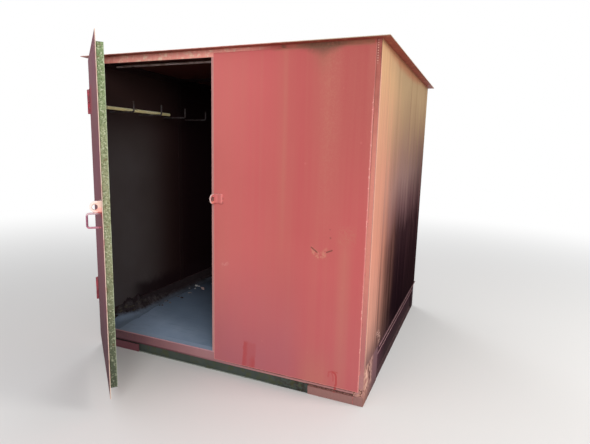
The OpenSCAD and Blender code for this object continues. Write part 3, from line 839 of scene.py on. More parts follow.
def rear_paint(tones):
    """Rear wall: dull red with dusty runs from the roof, darker towards the foot."""
    p = Paint("rear_wall_paint")
    outside = p.y.above(REAR_Y - SHEET / 2, 0.0004)
    wander = p.noise(0.4, 3, 0.6, seed=2)
    broad = p.runs(p.x, 0.130, 3.0, 9.0, 0.40, 0.70)
    runs = p.runs(p.x, 0.020, 1.8, 5.0, 0.42, 0.66)
    clean = p.z - 0.5 + (wander - 0.5) * 0.5 + broad * 0.20 + runs * 0.10
    p.colour = p.ramp(
        clean / 2.0,
        (0.0, (54, 32, 35)), (0.25, (92, 56, 56)), (0.50, (136, 88, 80)),
        (0.80, (168, 124, 100)),
    )
    dark = p.runs(p.x, 0.010, 2.2, 12.0, 0.56, 0.66)
    p.lay((112, 80, 60), dark * 0.35)
    rust = p.wear(tones.rust, 0.7, 45)
    # Painted shade: the inner side is nearly black
    inner = p.mix((36, 22, 24), (28, 18, 20), p.noise(0.3, 4, seed=3))
    p.colour = p.mix(inner, p.colour, outside)
    relief = p.noise(0.5, 2, seed=24) * 3.4 + p.grain(5) * 0.12 + rust * 0.2
    return p.finish((0.70 + rust * 0.2).clamp(), relief, 0.0018, specular=0.05)


def foot_paint(tones):
    """Side foot plates: tan near the corner, mauve painted shade behind it, painted highlights and shade on
    folds.
    """
    p = Paint("foot_plate_paint")
    fine = p.noise(0.02, 4, 0.6, seed=1)
    p.colour = p.mix((184, 132, 120), (150, 106, 100), fine)
    # Painted shade: mauve behind a line that runs back as it rises
    behind = (p.y + (1.0 - p.z * 1.6) * 0.12 + (fine - 0.5) * 0.08).above(-0.76, 0.14)
    p.lay((108, 82, 90), behind * 0.9)
    # Painted highlights on the folds and painted shade in the creases, near the front
    fold = abs(p.noise(0.100, 2, 0.5, seed=5, warp=0.8) - 0.5)
    creased = p.box(p.y, -1.01, -0.80, 0.070, 0.262, 0.035)
    p.lay((232, 190, 170), creased * fold.between(0.035, 0.100, 0.030) * 0.45)
    p.lay((78, 48, 48), creased * fold.below(0.016, 0.016) * 0.55)
    # One long crease down from the ledge in painted shade, with painted highlights on the bulges in front of
    # it
    crease = p.stroke(p.y, [(-0.892, 0.240), (-0.897, 0.190), (-0.872, 0.150), (-0.850, 0.118)], 0.010, 0.012)
    p.lay((86, 52, 50), crease * 0.85)
    bulge = p.stroke(p.y, [(-0.945, 0.205), (-0.950, 0.180)], 0.014, 0.012).most(
        p.stroke(p.y, [(-0.925, 0.142), (-0.955, 0.112)], 0.013, 0.012)
    )
    p.lay((230, 186, 166), bulge * 0.7)
    low = p.z.below(0.05, 0.05) * (0.4 + 0.6 * fine)
    p.lay(tones.grime, low * 0.5)
    # Painted shade: the inner face, seen inside the cabin, is dark
    back = abs(p.x).below(HALF_W - SHEET / 2, 0.0005) * p.y.near(-0.82, 0.176, 0.002)
    p.lay((50, 40, 44), back * 0.9)
    rust = p.wear(tones.rust, 0.5, 47)
    return p.finish(0.66, p.grain(5) + rust * 0.3 - crease * 0.6, 0.0012, specular=0.0)


def base_paint(tones):
    """Base rails and ledges: dark maroon painted shade, mauve in front, painted highlight on the outer lips,
    dirty inside.
    """
    p = Paint("base_paint")
    # Painted shade: dark maroon, lighter mauve in front where more light falls
    p.colour = p.mix(tones.base, (42, 30, 36), p.noise(0.12, 4, seed=1))
    p.lay((96, 64, 74), p.y.below(-0.42, 0.20) * 0.7)
    up = p.facing_up()
    lying = up.above(0.6, 0.2) * (0.4 + 0.6 * p.noise(0.02, 4, seed=3))
    rust = p.wear(tones.rust, 0.8, 50)
    splash = p.z.below(0.06, 0.05) * p.noise(0.03, 4, seed=5)
    p.lay((74, 64, 62), splash.clamp() * 0.6)
    p.lay((112, 86, 88), lying.clamp() * 0.55)
    # Painted highlight along the outer lips, stronger in front
    flange = abs(p.x).above(1.0255, 0.0006) * p.z.between(0.1735, 0.1815, 0.0008)
    lip = abs(p.x).above(1.0370, 0.0010).most(flange)
    worn = (0.30 + 0.30 * p.y.below(-0.10, 0.60) + 0.50 * p.noise(0.04, 3, seed=8)).clamp()
    p.lay((184, 142, 146), lip * worn)
    inside = abs(p.x).below(1.0122, 0.0004) * p.z.above(0.139, 0.002)
    inside = inside.most(abs(p.x).below(1.0178, 0.0004) * p.z.above(0.200, 0.002)) * p.y.below(0.9822, 0.0004)
    dirt = p.mix((74, 64, 66), (46, 36, 40), p.noise(0.05, 5, 0.6, seed=11))
    p.lay(dirt, inside)
    return p.finish((0.70 + lying * 0.15).clamp(), p.grain(7) + rust * 0.5, 0.0010, specular=0.0)


def under_paint(tones):
    """Recessed front rail, bearer and joists: grey-green, dirty, painted shade at right, painted highlight on
    the lower lip.
    """
    p = Paint("under_paint")
    p.colour = p.mix(tones.under, (58, 64, 60), p.noise(0.09, 5, 0.6, seed=1))
    # Painted shade in dark patches to the right
    bare = p.x.above(0.45, 0.15) * p.noise(0.025, 4, seed=4).above(0.52, 0.08)
    p.lay((54, 42, 36), bare * 0.75)
    # Painted highlight on the lower lip
    lip = p.z.below(0.0075, 0.002) * p.y.below(-0.990, 0.003) * p.x.below(0.40, 0.15)
    p.lay((160, 166, 158), lip * (0.3 + 0.7 * p.noise(0.05, 3, seed=6)))
    moss = p.noise(0.05, 4, seed=9).above(0.58, 0.06) * p.z.below(0.09, 0.05)
    p.lay((78, 82, 50), moss * 0.5)
    rust = p.wear(tones.rust, 0.9, 60)
    return p.finish(0.75, p.grain(9) + rust * 0.6, 0.0012)


def roof_paint(tones):
    """Roof: strong red underneath, painted shade over the inside, a pale rubbed edge and a dusty, rusting
    top.
    """
    p = Paint("roof_paint")
    top = p.z.above(ROOF_TOP - 0.0005, 0.0003)
    middle_x, middle_y = halfway("roof_sheet", X), halfway("roof_sheet", Y)
    side = abs(p.x - middle_x).above(highest("roof_sheet", X) - middle_x - 0.0005, 0.0004)
    end = abs(p.y - middle_y).above(highest("roof_sheet", Y) - middle_y - 0.0004, 0.0004)
    p.colour = p.mix((156, 70, 56), (134, 60, 48), p.noise(0.2, 3, seed=1))
    # Painted shade: the underside is dark over the inside
    within = p.box(p.x, -1.0, 1.0, 2.0, 2.109, 0.002) * p.y.between(-0.97, 0.99, 0.004)
    orange = p.noise(0.05, 5, 0.65, seed=14).above(0.58, 0.06)
    p.lay((190, 112, 84), orange * 0.5)
    p.lay((52, 29, 28), within * 0.9)
    weather = p.mix((150, 112, 92), (118, 74, 60), p.noise(0.35, 5, 0.6, seed=3).above(0.5, 0.15))
    puddle = p.noise(0.6, 3, seed=5).above(0.56, 0.03)
    weather = p.mix(weather, (172, 152, 134), puddle * 0.5)
    weather = p.mix(weather, tones.rust, p.noise(0.05, 6, 0.7, seed=7).above(0.60, 0.05) * 0.8)
    p.lay(weather, top)
    rubbed = p.mix((206, 150, 138), (168, 102, 88), p.noise(0.05, 5, 0.65, seed=9).above(0.52, 0.1))
    chalky = p.mix(rubbed, (178, 172, 150), p.x.above(0.45, 0.25) * (0.5 + 0.5 * p.noise(0.06, 3, seed=12)))
    p.lay(chalky, side.most(end))
    return p.finish((0.5 + top * 0.25).clamp(), p.noise(0.4, 2, seed=11) * 2.0 + p.grain(2) * 0.2, 0.0015)


def inner_paint(tones):
    """Framing inside: maroon brown in painted shade, under dust. The rear posts' feet show outside, dark like
    the base.
    """
    p = Paint("inner_paint")
    p.colour = p.mix(tones.inner, (44, 26, 28), p.noise(0.08, 4, seed=1))
    # Painted shade: darker further in
    p.lay((28, 17, 19), p.y.above(-0.10, 0.30) * 0.8)
    up = p.facing_up()
    p.lay((92, 78, 74), up.above(0.5, 0.3) * 0.5)
    # Outside, the rear posts' feet take the base's dark red, which is painted shade
    outer = p.z.below(0.246, 0.002) * abs(p.x).above(1.0262, 0.0003).most(p.y.above(0.9962, 0.0003))
    p.lay(p.mix(tones.base, (46, 34, 38), p.noise(0.12, 4, seed=2)), outer)
    rust = p.wear(tones.rust, 0.5, 70)
    return p.finish(0.7, p.grain(4) + rust * 0.4, 0.0008, specular=0.1)


def tie_paint(tones):
    """Tie bar: pale pinkish grey, dusty on top, with brown rubs."""
    p = Paint("tie_bar_paint")
    p.colour = p.mix((206, 182, 182), (164, 134, 130), p.noise(0.06, 4, seed=1).above(0.55, 0.12))
    dust = (p.z - TIE_Z).above(0.003, 0.003)
    p.lay((214, 202, 196), dust * 0.7)
    p.wear(tones.rust, 0.5, 72)
    return p.finish(0.6, p.grain(6), 0.0006)


def floor_paint(tones):
    """Floor plate: blue-grey under cement dust, painted shade darker to the back, darker and browner along
    the wall.
    """
    p = Paint("floor_steel")
    cloud = p.noise(0.5, 4, 0.55, seed=1)
    p.colour = p.mix(tones.floor, (150, 170, 202), cloud)
    dusty = p.noise(0.12, 6, 0.6, seed=3).above(0.50, 0.18)
    p.lay((186, 202, 226), dusty * 0.40)
    # Painted shade: bright at the doorway, and darker the further in, sooner on the right, where the panel
    # shades it
    deep = p.y + (p.x + 0.66) * 0.55 + (cloud - 0.5) * 0.30
    p.lay((112, 130, 154), deep.above(-0.66, 0.20) * 0.75)
    p.lay((78, 88, 106), deep.above(-0.22, 0.34) * 0.9)
    # Nearly black at the back
    p.lay((34, 30, 34), (p.y + (cloud - 0.5) * 0.25).above(0.30, 0.16) * 0.9)
    dirt = (p.x + (p.noise(0.10, 4, seed=5) - 0.5) * 0.12 + p.y.below(-0.6, 0.2) * 0.06).below(-0.955, 0.05)
    p.lay((84, 84, 90), dirt * 0.6)
    drag = p.stretched(p.x * 3, p.y * 60, 0.0, Detail=3.0)
    p.lay((104, 116, 136), drag.above(0.64, 0.03) * 0.30)
    grit = p.noise(0.008, 3, 0.7, seed=8).above(0.68, 0.04) * p.noise(0.3, 2, seed=9)
    p.lay((84, 86, 92), grit.clamp() * 0.4)
    spot = ((p.x + 0.899) * (p.x + 0.899) * 3.0 + (p.y + 0.752) * (p.y + 0.752) * 0.25) ** 0.5
    p.lay((56, 60, 70), (spot + grit * 0.01).below(0.014, 0.008) * 0.6)
    p.wear(tones.rust, 0.1, 80)
    return p.finish((0.70 + dusty * 0.2).clamp(), p.grain(6) + dusty * 0.4, 0.0010, specular=0.10)


def door_repaint(p):
    """Fresh red round the upper hinge and under the padlock eye, and a painted shadow under the hinge."""
    patchy = p.noise(0.10, 4, 0.6, seed=15)
    across, up = p.x + (patchy - 0.5) * 0.50, p.z + (patchy - 0.5) * 0.06
    hinge = across.below(0.34, 0.20) * up.between(1.722, 1.894, 0.028)
    p.lay((164, 56, 68), hinge * (0.40 + 0.55 * patchy))
    # Painted shadow under the hinge
    spot = p.stroke(p.x, [(0.020, 1.712), (0.080, 1.712)], 0.012, 0.012)
    p.lay((44, 26, 36), spot * 0.8)
    under_eye = p.box(p.x, 0.860, 1.020, 1.124, 1.166, 0.012)
    p.lay((160, 52, 56), under_eye * (0.55 + 0.5 * patchy))


def door_inside(p, tones):
    """Inner side of the door's sheet: the frame's old green, with grime and rust."""
    green = p.mix(tones.leaf_frame, (126, 136, 104), p.noise(0.4, 4, seed=4))
    green = p.mix(green, (96, 84, 58), p.noise(0.004, 2, seed=6).above(0.62, 0.05) * 0.6)
    return p.mix(green, tones.rust, p.noise(0.07, 6, 0.7, seed=8).above(0.62, 0.04) * 0.8)


def door_paint(tones):
    """Door sheet: mauve red dulled as painted shade, brushed over at the upper hinge; old green inside; pale
    edges.
    """
    p = Paint("door_paint", leaf=True)
    outside = p.y.below(0.0050, 0.0004)
    broad = p.runs(p.x, 0.10, 2.5, 3.0, 0.40, 0.70)
    fine = p.runs(p.x, 0.015, 1.0, 6.0, 0.45, 0.70)
    pale = (broad * 0.25 + fine * 0.15 + p.z.above(1.75, 0.35) * 0.48).clamp()
    # Painted shade: the outer face is dull mauve, as if in shade
    p.colour = p.mix(tones.leaf, (156, 110, 118), pale)
    p.lay((128, 74, 96), p.noise(0.22, 3, 0.6, seed=21).above(0.52, 0.12) * 0.45)
    p.lay((68, 54, 60), p.z.below(0.56, 0.40) * 0.8)
    p.lay((136, 78, 90), p.runs(p.x, 0.05, 3.0, 19.0, 0.48, 0.62) * 0.5)
    door_repaint(p)
    rust = p.wear(tones.rust, 0.4, 90)
    p.colour = p.mix(door_inside(p, tones), p.colour, outside)
    rim = p.x.above(1.0160, 0.0005).most(p.x.below(0.0180, 0.0005)).most(p.z.below(0.0892, 0.0006))
    rim = rim.most(p.z.above(2.0868, 0.0006))
    blotch = p.noise(0.06, 4, seed=9).above(0.56, 0.08)
    cream = p.mix((228, 208, 190), (200, 160, 146), blotch)
    p.lay(cream, rim * 0.95)
    near_rim = p.x.above(1.0125, 0.0020) * outside
    p.lay((176, 128, 122), near_rim * 0.6)
    rough = (0.66 + broad * 0.1 + rust * 0.2).clamp()
    return p.finish(rough, p.noise(0.5, 2, seed=12) * 3.0 + p.grain(8) * 0.12, 0.0016, specular=0.06)


def door_frame_paint(tones):
    """Door frame: old pale green, speckled with grime and pin rust, dark low down, painted highlight on its
    far edge.
    """
    p = Paint("door_frame_paint", leaf=True)
    p.colour = p.mix(tones.leaf_frame, (148, 148, 116), p.noise(0.25, 4, seed=1).above(0.52, 0.14))
    p.lay((118, 140, 98), p.z.above(1.60, 0.34) * 0.80)
    p.lay((56, 64, 54), p.z.below(0.62, 0.44) * 0.92)
    speckle = p.noise(0.0085, 3, 0.7, seed=3).above(0.55, 0.06)
    p.lay((76, 84, 58), speckle * 0.60)
    pale = p.noise(0.0085, 2, 0.6, seed=5).above(0.58, 0.05)
    p.lay((200, 204, 176), pale * 0.55 * (1.0 - p.z.below(0.50, 0.40) * 0.6))
    bared = p.noise(0.05, 5, 0.65, seed=7).above(0.62, 0.04)
    p.lay((104, 82, 54), bared * 0.6)
    # Brown where it meets the sheet, and a painted highlight on the edge that faces inwards
    root = p.y.below(0.0100, 0.0025) * p.noise(0.03, 4, seed=11).above(0.45, 0.12)
    p.lay((112, 86, 66), root * 0.65)
    line = p.y.above(0.0420, 0.0020) * p.x.above(0.990, 0.004) * p.noise(0.10, 3, seed=13).above(0.45, 0.10)
    p.lay((172, 182, 156), line * 0.65)
    p.wear(tones.rust, 0.5, 100)
    return p.finish(0.66, speckle * 0.6 + p.grain(1), 0.0009, specular=0.12)


def fitting_paint(tones):
    """Hinges: thick brushed-on red, rubbed pale, with patches of fresher red."""
    p = Paint("fitting_paint")
    p.colour = p.mix(tones.fitting, (118, 48, 60), p.noise(0.015, 4, seed=1).above(0.5, 0.12))
    p.lay((186, 54, 72), p.noise(0.03, 3, seed=7).above(0.50, 0.08) * 0.7)
    rubbed = p.noise(0.012, 4, 0.6, seed=3).above(0.62, 0.05)
    p.lay((226, 156, 164), rubbed * 0.6)
    rust = p.wear(tones.rust, 0.8, 110)
    return p.finish(0.5, p.grain(2) + rust * 0.4, 0.0008)


def handle_paint(tones):
    """Handle: mauve rod, a whitish painted highlight on its top arm, darker low on the grip and pink on its
    lower arm.
    """
    p = Paint("handle_paint", leaf=True)
    p.colour = p.mix((158, 96, 120), (140, 76, 98), p.z.below(1.096, 0.02))
    # Painted highlight on the top arm
    p.lay((226, 200, 206), p.z.above(1.126, 0.006) * 0.90)
    p.lay((206, 140, 158), p.z.below(1.064, 0.004) * 0.85)
    root = p.y.above(-0.012, 0.006)
    p.lay((158, 56, 64), root * 0.7)
    rubbed = p.noise(0.012, 4, 0.6, seed=3).above(0.58, 0.08)
    p.lay((224, 186, 196), rubbed * 0.45)
    rust = p.wear(tones.rust, 0.6, 112)
    return p.finish(0.45, p.grain(2) + rust * 0.4, 0.0006)


def eye_paint(tones, name, leaf):
    """Padlock eyes: brushed over, a worn whitish rim with painted highlight, red at the lower weld, bare
    round the hole.
    """
    p = Paint(name, leaf=leaf)
    out = p.y + (0.025 if leaf else 1.031)
    up = p.z - EYE_Z
    from_centre = (out * out + up * up) ** 0.5
    face = (228, 198, 184) if leaf else (216, 128, 126)
    shade = (222, 184, 168) if leaf else (204, 116, 114)
    p.colour = p.mix(face, shade, p.noise(0.02, 4, seed=1))
    if leaf:
        p.lay((238, 160, 148), up.below(-0.004, 0.008) * out.above(-0.004, 0.008) * 0.75)
    else:
        # A pale bulge low beside the hole, and a shaded bend where the flange begins
        pale = ((up + 0.022) * (up + 0.022) + (out + 0.006) * (out + 0.006) * 0.3) ** 0.5
        p.lay((246, 160, 142), pale.below(0.010, 0.006) * 0.8)
        p.lay((186, 96, 92), p.x.between(0.018, 0.038, 0.008) * 0.5)
    lower = (p.z + (p.noise(0.012, 3, seed=2) - 0.5) * 0.012).below(1.1655, 0.005)
    p.lay((156, 60, 58), lower * (0.9 if leaf else 0.55))
    # The rim: worn whitish, and a painted highlight where it catches the light
    rim = from_centre.above(*((0.0225, 0.0030) if leaf else (0.0285, 0.0015))) * out.below(0.006, 0.006)
    rim = rim.most(abs(up).above(0.0312, 0.0005))
    rim = rim * (1.0 - lower) * (0.75 + 0.25 * p.noise(0.006, 2, seed=4))
    p.lay((244, 224, 218), rim * 0.85)
    if not leaf:
        p.lay((238, 144, 140), p.x.above(0.0470, 0.0040) * up.above(-0.02, 0.01) * 0.8)
    hole = p.y + (0.032 if leaf else 1.038)
    ring = ((hole * hole + up * up) ** 0.5).below(0.0155, 0.0010)
    p.lay((104, 62, 50), ring * 0.85)
    p.wear(tones.rust, 0.3, 120)
    return p.finish(0.48, p.grain(3), 0.0006)


def hook_paint():
    """Hooks: dark dull steel, a little rusty, rubbed bright in patches."""
    p = Paint("hook_steel")
    p.colour = p.mix((74, 68, 70), (58, 44, 40), p.noise(0.02, 5, seed=1).above(0.5, 0.12))
    bright = p.noise(0.03, 3, seed=4).above(0.55, 0.1)
    p.lay((112, 108, 112), bright * 0.5)
    return p.finish(0.60, p.grain(5), 0.0007, metallic=bright * 0.3)


def rail_paint(tones):
    """Hanging rail: worn yellow with brown rubs and a whitish chalky top."""
    p = Paint("rail_paint")
    p.colour = p.mix(tones.rail, (255, 246, 198), p.noise(0.12, 4, seed=1).above(0.5, 0.15))
    p.lay((186, 140, 74), p.noise(0.03, 5, 0.65, seed=3).above(0.66, 0.04) * 0.6)
    chalk = (p.z - RAIL_Z).above(0.003, 0.004)
    p.lay((244, 236, 206), chalk * 0.5)
    return p.finish(0.55, p.grain(6), 0.0008)


def weld_paint(tones, name, base, leaf):
    """Weld beads under old paint, rusting between the ripples."""
    p = Paint(name, leaf=leaf)
    p.colour = p.mix(base, tones.rust, p.noise(0.018, 4, 0.65, seed=1).above(0.50, 0.10) * 0.6)
    return p.finish(0.55, p.grain(2), 0.0006)


def dirt_paint():
    """Dirt on the floor: blue-grey cement dust at its foot, above it brown crumbs with olive strips, painted
    shade further in.
    """
    p = Paint("dirt")
    lump = p.noise(0.05, 5, 0.65, seed=1)
    fine = p.noise(0.012, 4, 0.65, seed=2)
    crumbs = p.mix((86, 78, 80), (52, 42, 46), (lump * 0.6 + fine * 0.4).above(0.5, 0.10))
    strips = p.stretched(p.x * 60, p.y * 14, p.z * 70)
    strips = strips.above(0.60, 0.05) * p.y.below(-0.58, 0.10) * p.z.between(0.165, 0.225, 0.015)
    crumbs = p.mix(crumbs, (134, 128, 84), strips * 0.32)
    # Painted shade: the dust is darker the further in, as on the floor
    dust = p.mix((150, 167, 193), (108, 118, 134), (p.y + lump * 0.2).above(-0.52, 0.26))
    threshold = p.z - p.y.below(-0.74, 0.16) * 0.022 + (fine - 0.5) * 0.020 + (lump - 0.5) * 0.024
    p.colour = p.mix(dust, crumbs, threshold.above(0.156, 0.018))
    p.lay((52, 38, 42), (p.z + (lump - 0.5) * 0.04).above(0.250, 0.016) * 0.8)
    # Painted shade: darker further in
    p.lay((40, 32, 36), p.y.above(-0.20, 0.30) * 0.6)
    return p.finish(0.92, p.noise(0.01, 5, 0.7, seed=4), 0.003, specular=0.04)


def seam_paint():
    """Dirt in the front seam: reddish brown with dark crumbs."""
    p = Paint("seam_dirt")
    fine = p.noise(0.006, 3, 0.6, seed=1)
    p.colour = p.mix((136, 94, 86), (84, 54, 50), fine.above(0.52, 0.10))
    return p.finish(0.9, fine, 0.001, specular=0.04)


def scrap_paint():
    """Scraps of mortar and wood: grey, brown and nearly black ones, and three larger pale ones behind."""
    p = Paint("scraps")
    cell = p.noise(0.05, 1, 0.5, seed=3)
    p.colour = p.mix((128, 124, 128), (84, 78, 80), cell.above(0.48, 0.02))
    p.lay((46, 40, 42), cell.above(0.58, 0.02))
    larger = p.y.between(0.060, 0.190, 0.004)
    p.lay((196, 168, 166), larger * p.x.between(-0.905, -0.810, 0.004))
    p.lay((206, 204, 206), larger * p.x.between(-1.010, -0.925, 0.004))
    return p.finish(0.85, p.noise(0.004, 3, 0.6, seed=5), 0.001, specular=0.1)


# Pieces


def foot_plates(material, sizes):
    """The side foot plates, crumpled: each a 3 mm sheet whose outer face is pushed out and in.

    A grid over the plate, y along it and z up. The push is the height of folds, which is 1 - |noise| to a
    power along the noise's zero lines, under a hill over the front end. It only goes out where the post's
    leg lies behind the sheet, and further back dents go in. It falls to nothing at the rear and upper
    edges. The right plate bulges more. The back face is the same surface 3 mm further in.
    """
    rear = FRONT_Y + PLATE_LENGTH
    y, z = spread(110, 76, (FRONT_Y, 0.0), (rear, PLATE_HEIGHT))
    bend = value_noise(y, z, 0.11, sizes.seed + 20) * 0.02
    folds = ramp(1.0 - np.abs(value_noise(y + bend, z - bend, 0.080, sizes.seed + 21)) * 2.2) ** 1.5
    small = ramp(1.0 - np.abs(value_noise(y - bend, z + bend, 0.040, sizes.seed + 22)) * 2.6) ** 1.5
    rim = ramp((PLATE_HEIGHT - z) / 0.02) * ramp((rear - y) / 0.03) * ramp(z / 0.02)
    out = (0.0032 * folds + 0.0008 * small) * hill(y, -0.93, 0.085) * hill(z, 0.17, 0.075) * rim
    free = ramp((y + 0.925) / 0.03) * ramp((z - 0.015) / 0.03) * ramp((0.165 - z) / 0.03)
    dents = ramp(value_noise(y, z, 0.085, sizes.seed + 23) + 0.15)
    push = out - sizes.dent * dents * free * hill(y, -0.84, 0.12)
    plates = []
    for side in (1, -1):
        pushed = push + (out * 0.7 if side > 0 else 0.0)
        outer, back = (np.stack([side * (HALF_W - deep + pushed), y, z], -1) for deep in (0.0, SHEET))
        points, faces = closed_sheet(outer, back)
        plates.append((points, faces if side > 0 else faces[:, ::-1]))
    piece = make_piece("foot_plates", *joined(plates), material, "cabin")
    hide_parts("foot_plates_side")


def rail_end_bars(material):
    """Bars that close the open rear ends of the base rails against the posts."""
    bars, foot, top = [], 0.004, 0.176
    wide, thin = 0.0098, 0.0030  # half sizes of a bar's section
    for side in (-1, 1):
        # One at the end of the side rail, and one at the end of the rear rail
        bars.append(end_bar(side * 1.0147, 0.9335, foot, top, wide, thin))
        bars.append(end_bar(side * 0.9635, 0.9847, foot, top, thin, wide))
    piece = make_piece("rail_end_bars", *joined(bars), material, "cabin")


def cabin_welds(material, sizes):
    """Beads on the front frame, the hinge wings on the left wall and the panel's padlock eye."""
    beads = []
    left, right, down, up, out = (-1, 0, 0), (1, 0, 0), (0, 0, -1), (0, 0, 1), (0, -1, 0)

    def lay(start, end, side, face, size=1.0):
        beads.append(bead(start, end, side, face, sizes.bead * size, sizes.ripple))

    # Stitches along the panel's foot and right edge
    for x in np.arange(0.06, 0.98, 0.23):
        lay((x, FRONT_Y, 0.088), (x + 0.05, FRONT_Y, 0.088), down, out, 0.7)
    for z in np.arange(0.20, 2.0, 0.30):
        lay((1.0, FRONT_Y, z), (1.0, FRONT_Y, z + 0.06), right, out, 0.7)
    # Foot plates to posts
    for x, side in ((-0.967, right), (0.967, left)):
        lay((x, FRONT_Y, 0.004), (x, FRONT_Y, 0.055), side, out, 0.45)
    # Hinge wings on the left wall, 80 mm high
    for foot, top in ((0.362, 0.442), (1.726, 1.806)):
        lay((-HALF_W, -0.957, foot), (-HALF_W, -0.957, top), (0, 1, 0), left)
        lay((-HALF_W, -0.998, foot), (-HALF_W, -0.958, foot), down, left)
        lay((-HALF_W, -0.998, top), (-HALF_W, -0.958, top), up, left)
    # Padlock eye on the panel
    lay((0.055, PANEL_Y, 1.161), (0.055, PANEL_Y, 1.223), right, out)
    for z, side in ((1.160, down), (1.224, up)):
        lay((-0.003, PANEL_Y, z), (0.054, PANEL_Y, z), side, out, 0.8)
    piece = make_piece("cabin_welds", *joined(beads), material, "cabin")


def turned(direction):
    """A direction on the closed leaf, turned with it to where it stands open."""
    x, y, z = direction
    c, s = math.cos(LEAF_OPEN), math.sin(LEAF_OPEN)
    return np.array([x * c + y * s, y * c - x * s, z])


def door_welds(material, sizes):
    """Beads on the door: hinge wings and padlock eye outside, and its frame on the sheet inside.

    Places are given on the closed leaf, from its hinge line.
    """
    beads = []
    left, right, down, up, out, inn = (-1, 0, 0), (1, 0, 0), (0, 0, -1), (0, 0, 1), (0, -1, 0), (0, 1, 0)
    outside, inside = 0.003, 0.007  # faces of the door's sheet

    def lay(start, end, side, face, size=1.0):
        start, end = (turned(point) + (*HINGE, 0.0) for point in (start, end))
        beads.append(bead(start, end, turned(side), turned(face), sizes.bead * size, sizes.ripple))

    for foot, top in ((0.4465, 0.5265), (1.8105, 1.8905)):
        lay((0.072, outside, foot), (0.072, outside, top), right, out)
        lay((0.020, outside, foot), (0.071, outside, foot), down, out)
        lay((0.020, outside, top), (0.071, outside, top), up, out)
    lay((0.949, outside, 1.161), (0.949, outside, 1.223), left, out)
    for z, side in ((1.160, down), (1.224, up)):
        lay((0.950, outside, z), (1.007, outside, z), side, out, 0.8)
    # Stitches of the door's frame on the sheet
    for z in np.arange(0.20, 2.0, 0.26):
        for x, side in ((1.000, right), (0.075, left)):
            lay((x, inside, z), (x, inside, z + 0.04), side, inn, 0.8)
    for x in np.arange(0.12, 0.98, 0.21):
        for z, side in ((0.147, down), (2.032, up)):
            lay((x, inside, z), (x + 0.04, inside, z), side, inn, 0.8)
    piece = make_piece("door_welds", *joined(beads), material, "door")


def floor_dirt(material, sizes):
    """Dirt on the floor along the left wall, with a flat underside.

    A strip from the doorway backwards, over the base rail and the ledge: u runs along it and v from the wall
    outwards. The width and the height at the wall follow smooth steps and hills of y, widest and highest in
    front. Across the strip the height falls as 1 - v to a power, steeper in front, and lumps of smooth noise
    in three sizes swell it.
    """
    u, v = spread(300, 60)
    start, rear, wall = -0.990, 0.764, -1.0262  # ends of the strip, and its edge at the wall
    y = start + (rear - start) * u
    width = 0.070 + 0.085 * hill(y, -1.0, 0.42) + 0.018 * value_noise(y, y * 0, 0.11, sizes.seed)
    x = wall + width * v
    lumps = sum(
        value_noise(x, y, size, sizes.seed + k) * high
        for k, size, high in ((1, 0.045, 0.45), (2, 0.018, 0.22), (3, 0.008, 0.14))
    )
    top = sizes.heap * (0.42 + 0.58 / (1 + np.exp((y + 0.36) * 9.0))) * ramp((rear - y) / 0.5)
    rise = ramp(u * 6.5)
    top = top * rise * rise * (3 - 2 * rise) * (1 - 0.22 * hill(y, -0.94, 0.20))
    front = 1 / (1 + np.exp((y + 0.62) * 11.0))
    fall = (1 - v) ** (1.8 + 1.4 * front)
    z = DIRT_FOOT + top * fall * (1.0 + lumps * (0.10 + 0.42 * ramp(fall * 2)))
    z = np.maximum(z, DIRT_FOOT) + 0.006 * ramp(1 - v * 1.6) * ramp(1 - u * 8)
    upper, under = (np.stack([x, y, level], -1) for level in (z, np.full_like(z, DIRT_FOOT - 0.0001)))
    points, faces = closed_sheet(upper, under)
    piece = make_piece("floor_dirt", points, faces[:, ::-1], material, "cabin")


def floor_scraps(material, sizes):
    """Small scraps lying on the dirt and on the floor beside it.

    Each is a flattened, lumpy ball: the radius at each longitude and latitude is 1 + 0.35 times a random
    number, scaled by the scrap's length, width and thickness. It is turned about Z and set down by its
    lowest point.
    """
    rng = np.random.default_rng(sizes.seed + 40)
    count, rings, steps = 24, 5, 8
    y = rng.uniform(-0.58, 0.62, count)
    x = -0.990 + rng.uniform(0.0, 1.0, count) ** 2 * 0.13
    lying = np.where(x < -0.96, 0.004, 0.0) + DIRT_FOOT
    ranges = ((0.006, 0.020), (0.004, 0.011), (0.002, 0.006))
    size = np.stack([rng.uniform(*ends, count) for ends in ranges], -1)
    # Three larger pale ones, further back
    x[:3], y[:3] = (-0.968, -0.847, -0.870), (0.150, 0.091, 0.120)
    size[:3] = (0.034, 0.012, 0.006), (0.022, 0.012, 0.006), (0.026, 0.012, 0.006)
    lat = np.linspace(0, np.pi, rings)[:, None]
    lon = np.linspace(0, 2 * np.pi, steps, endpoint=False)[None, :]
    ball = np.stack([np.sin(lat) * np.cos(lon), np.sin(lat) * np.sin(lon), np.cos(lat) + 0 * lon], -1)
    radius = 1 + 0.35 * rng.uniform(-1, 1, (count, rings, steps, 1))
    for pole in (0, -1):
        radius[:, pole] = radius[:, pole].mean(1, keepdims=True)
    shape = ball * radius * size[:, None, None, :]
    turn = rng.uniform(0, np.pi, count)[:, None, None]
    points = np.stack([
        shape[..., 0] * np.cos(turn) - shape[..., 1] * np.sin(turn),
        shape[..., 0] * np.sin(turn) + shape[..., 1] * np.cos(turn),
        shape[..., 2] - shape[..., 2].min((1, 2))[:, None, None],
    ], -1) + np.stack([x, y, lying], -1)[:, None, None, :]
    quads = grid_faces(rings, steps, loop=True)[:, ::-1]
    scraps = joined([(scrap.reshape(-1, 3), quads) for scrap in points])
    piece = make_piece("floor_scraps", *scraps, material, "cabin", smooth=False)


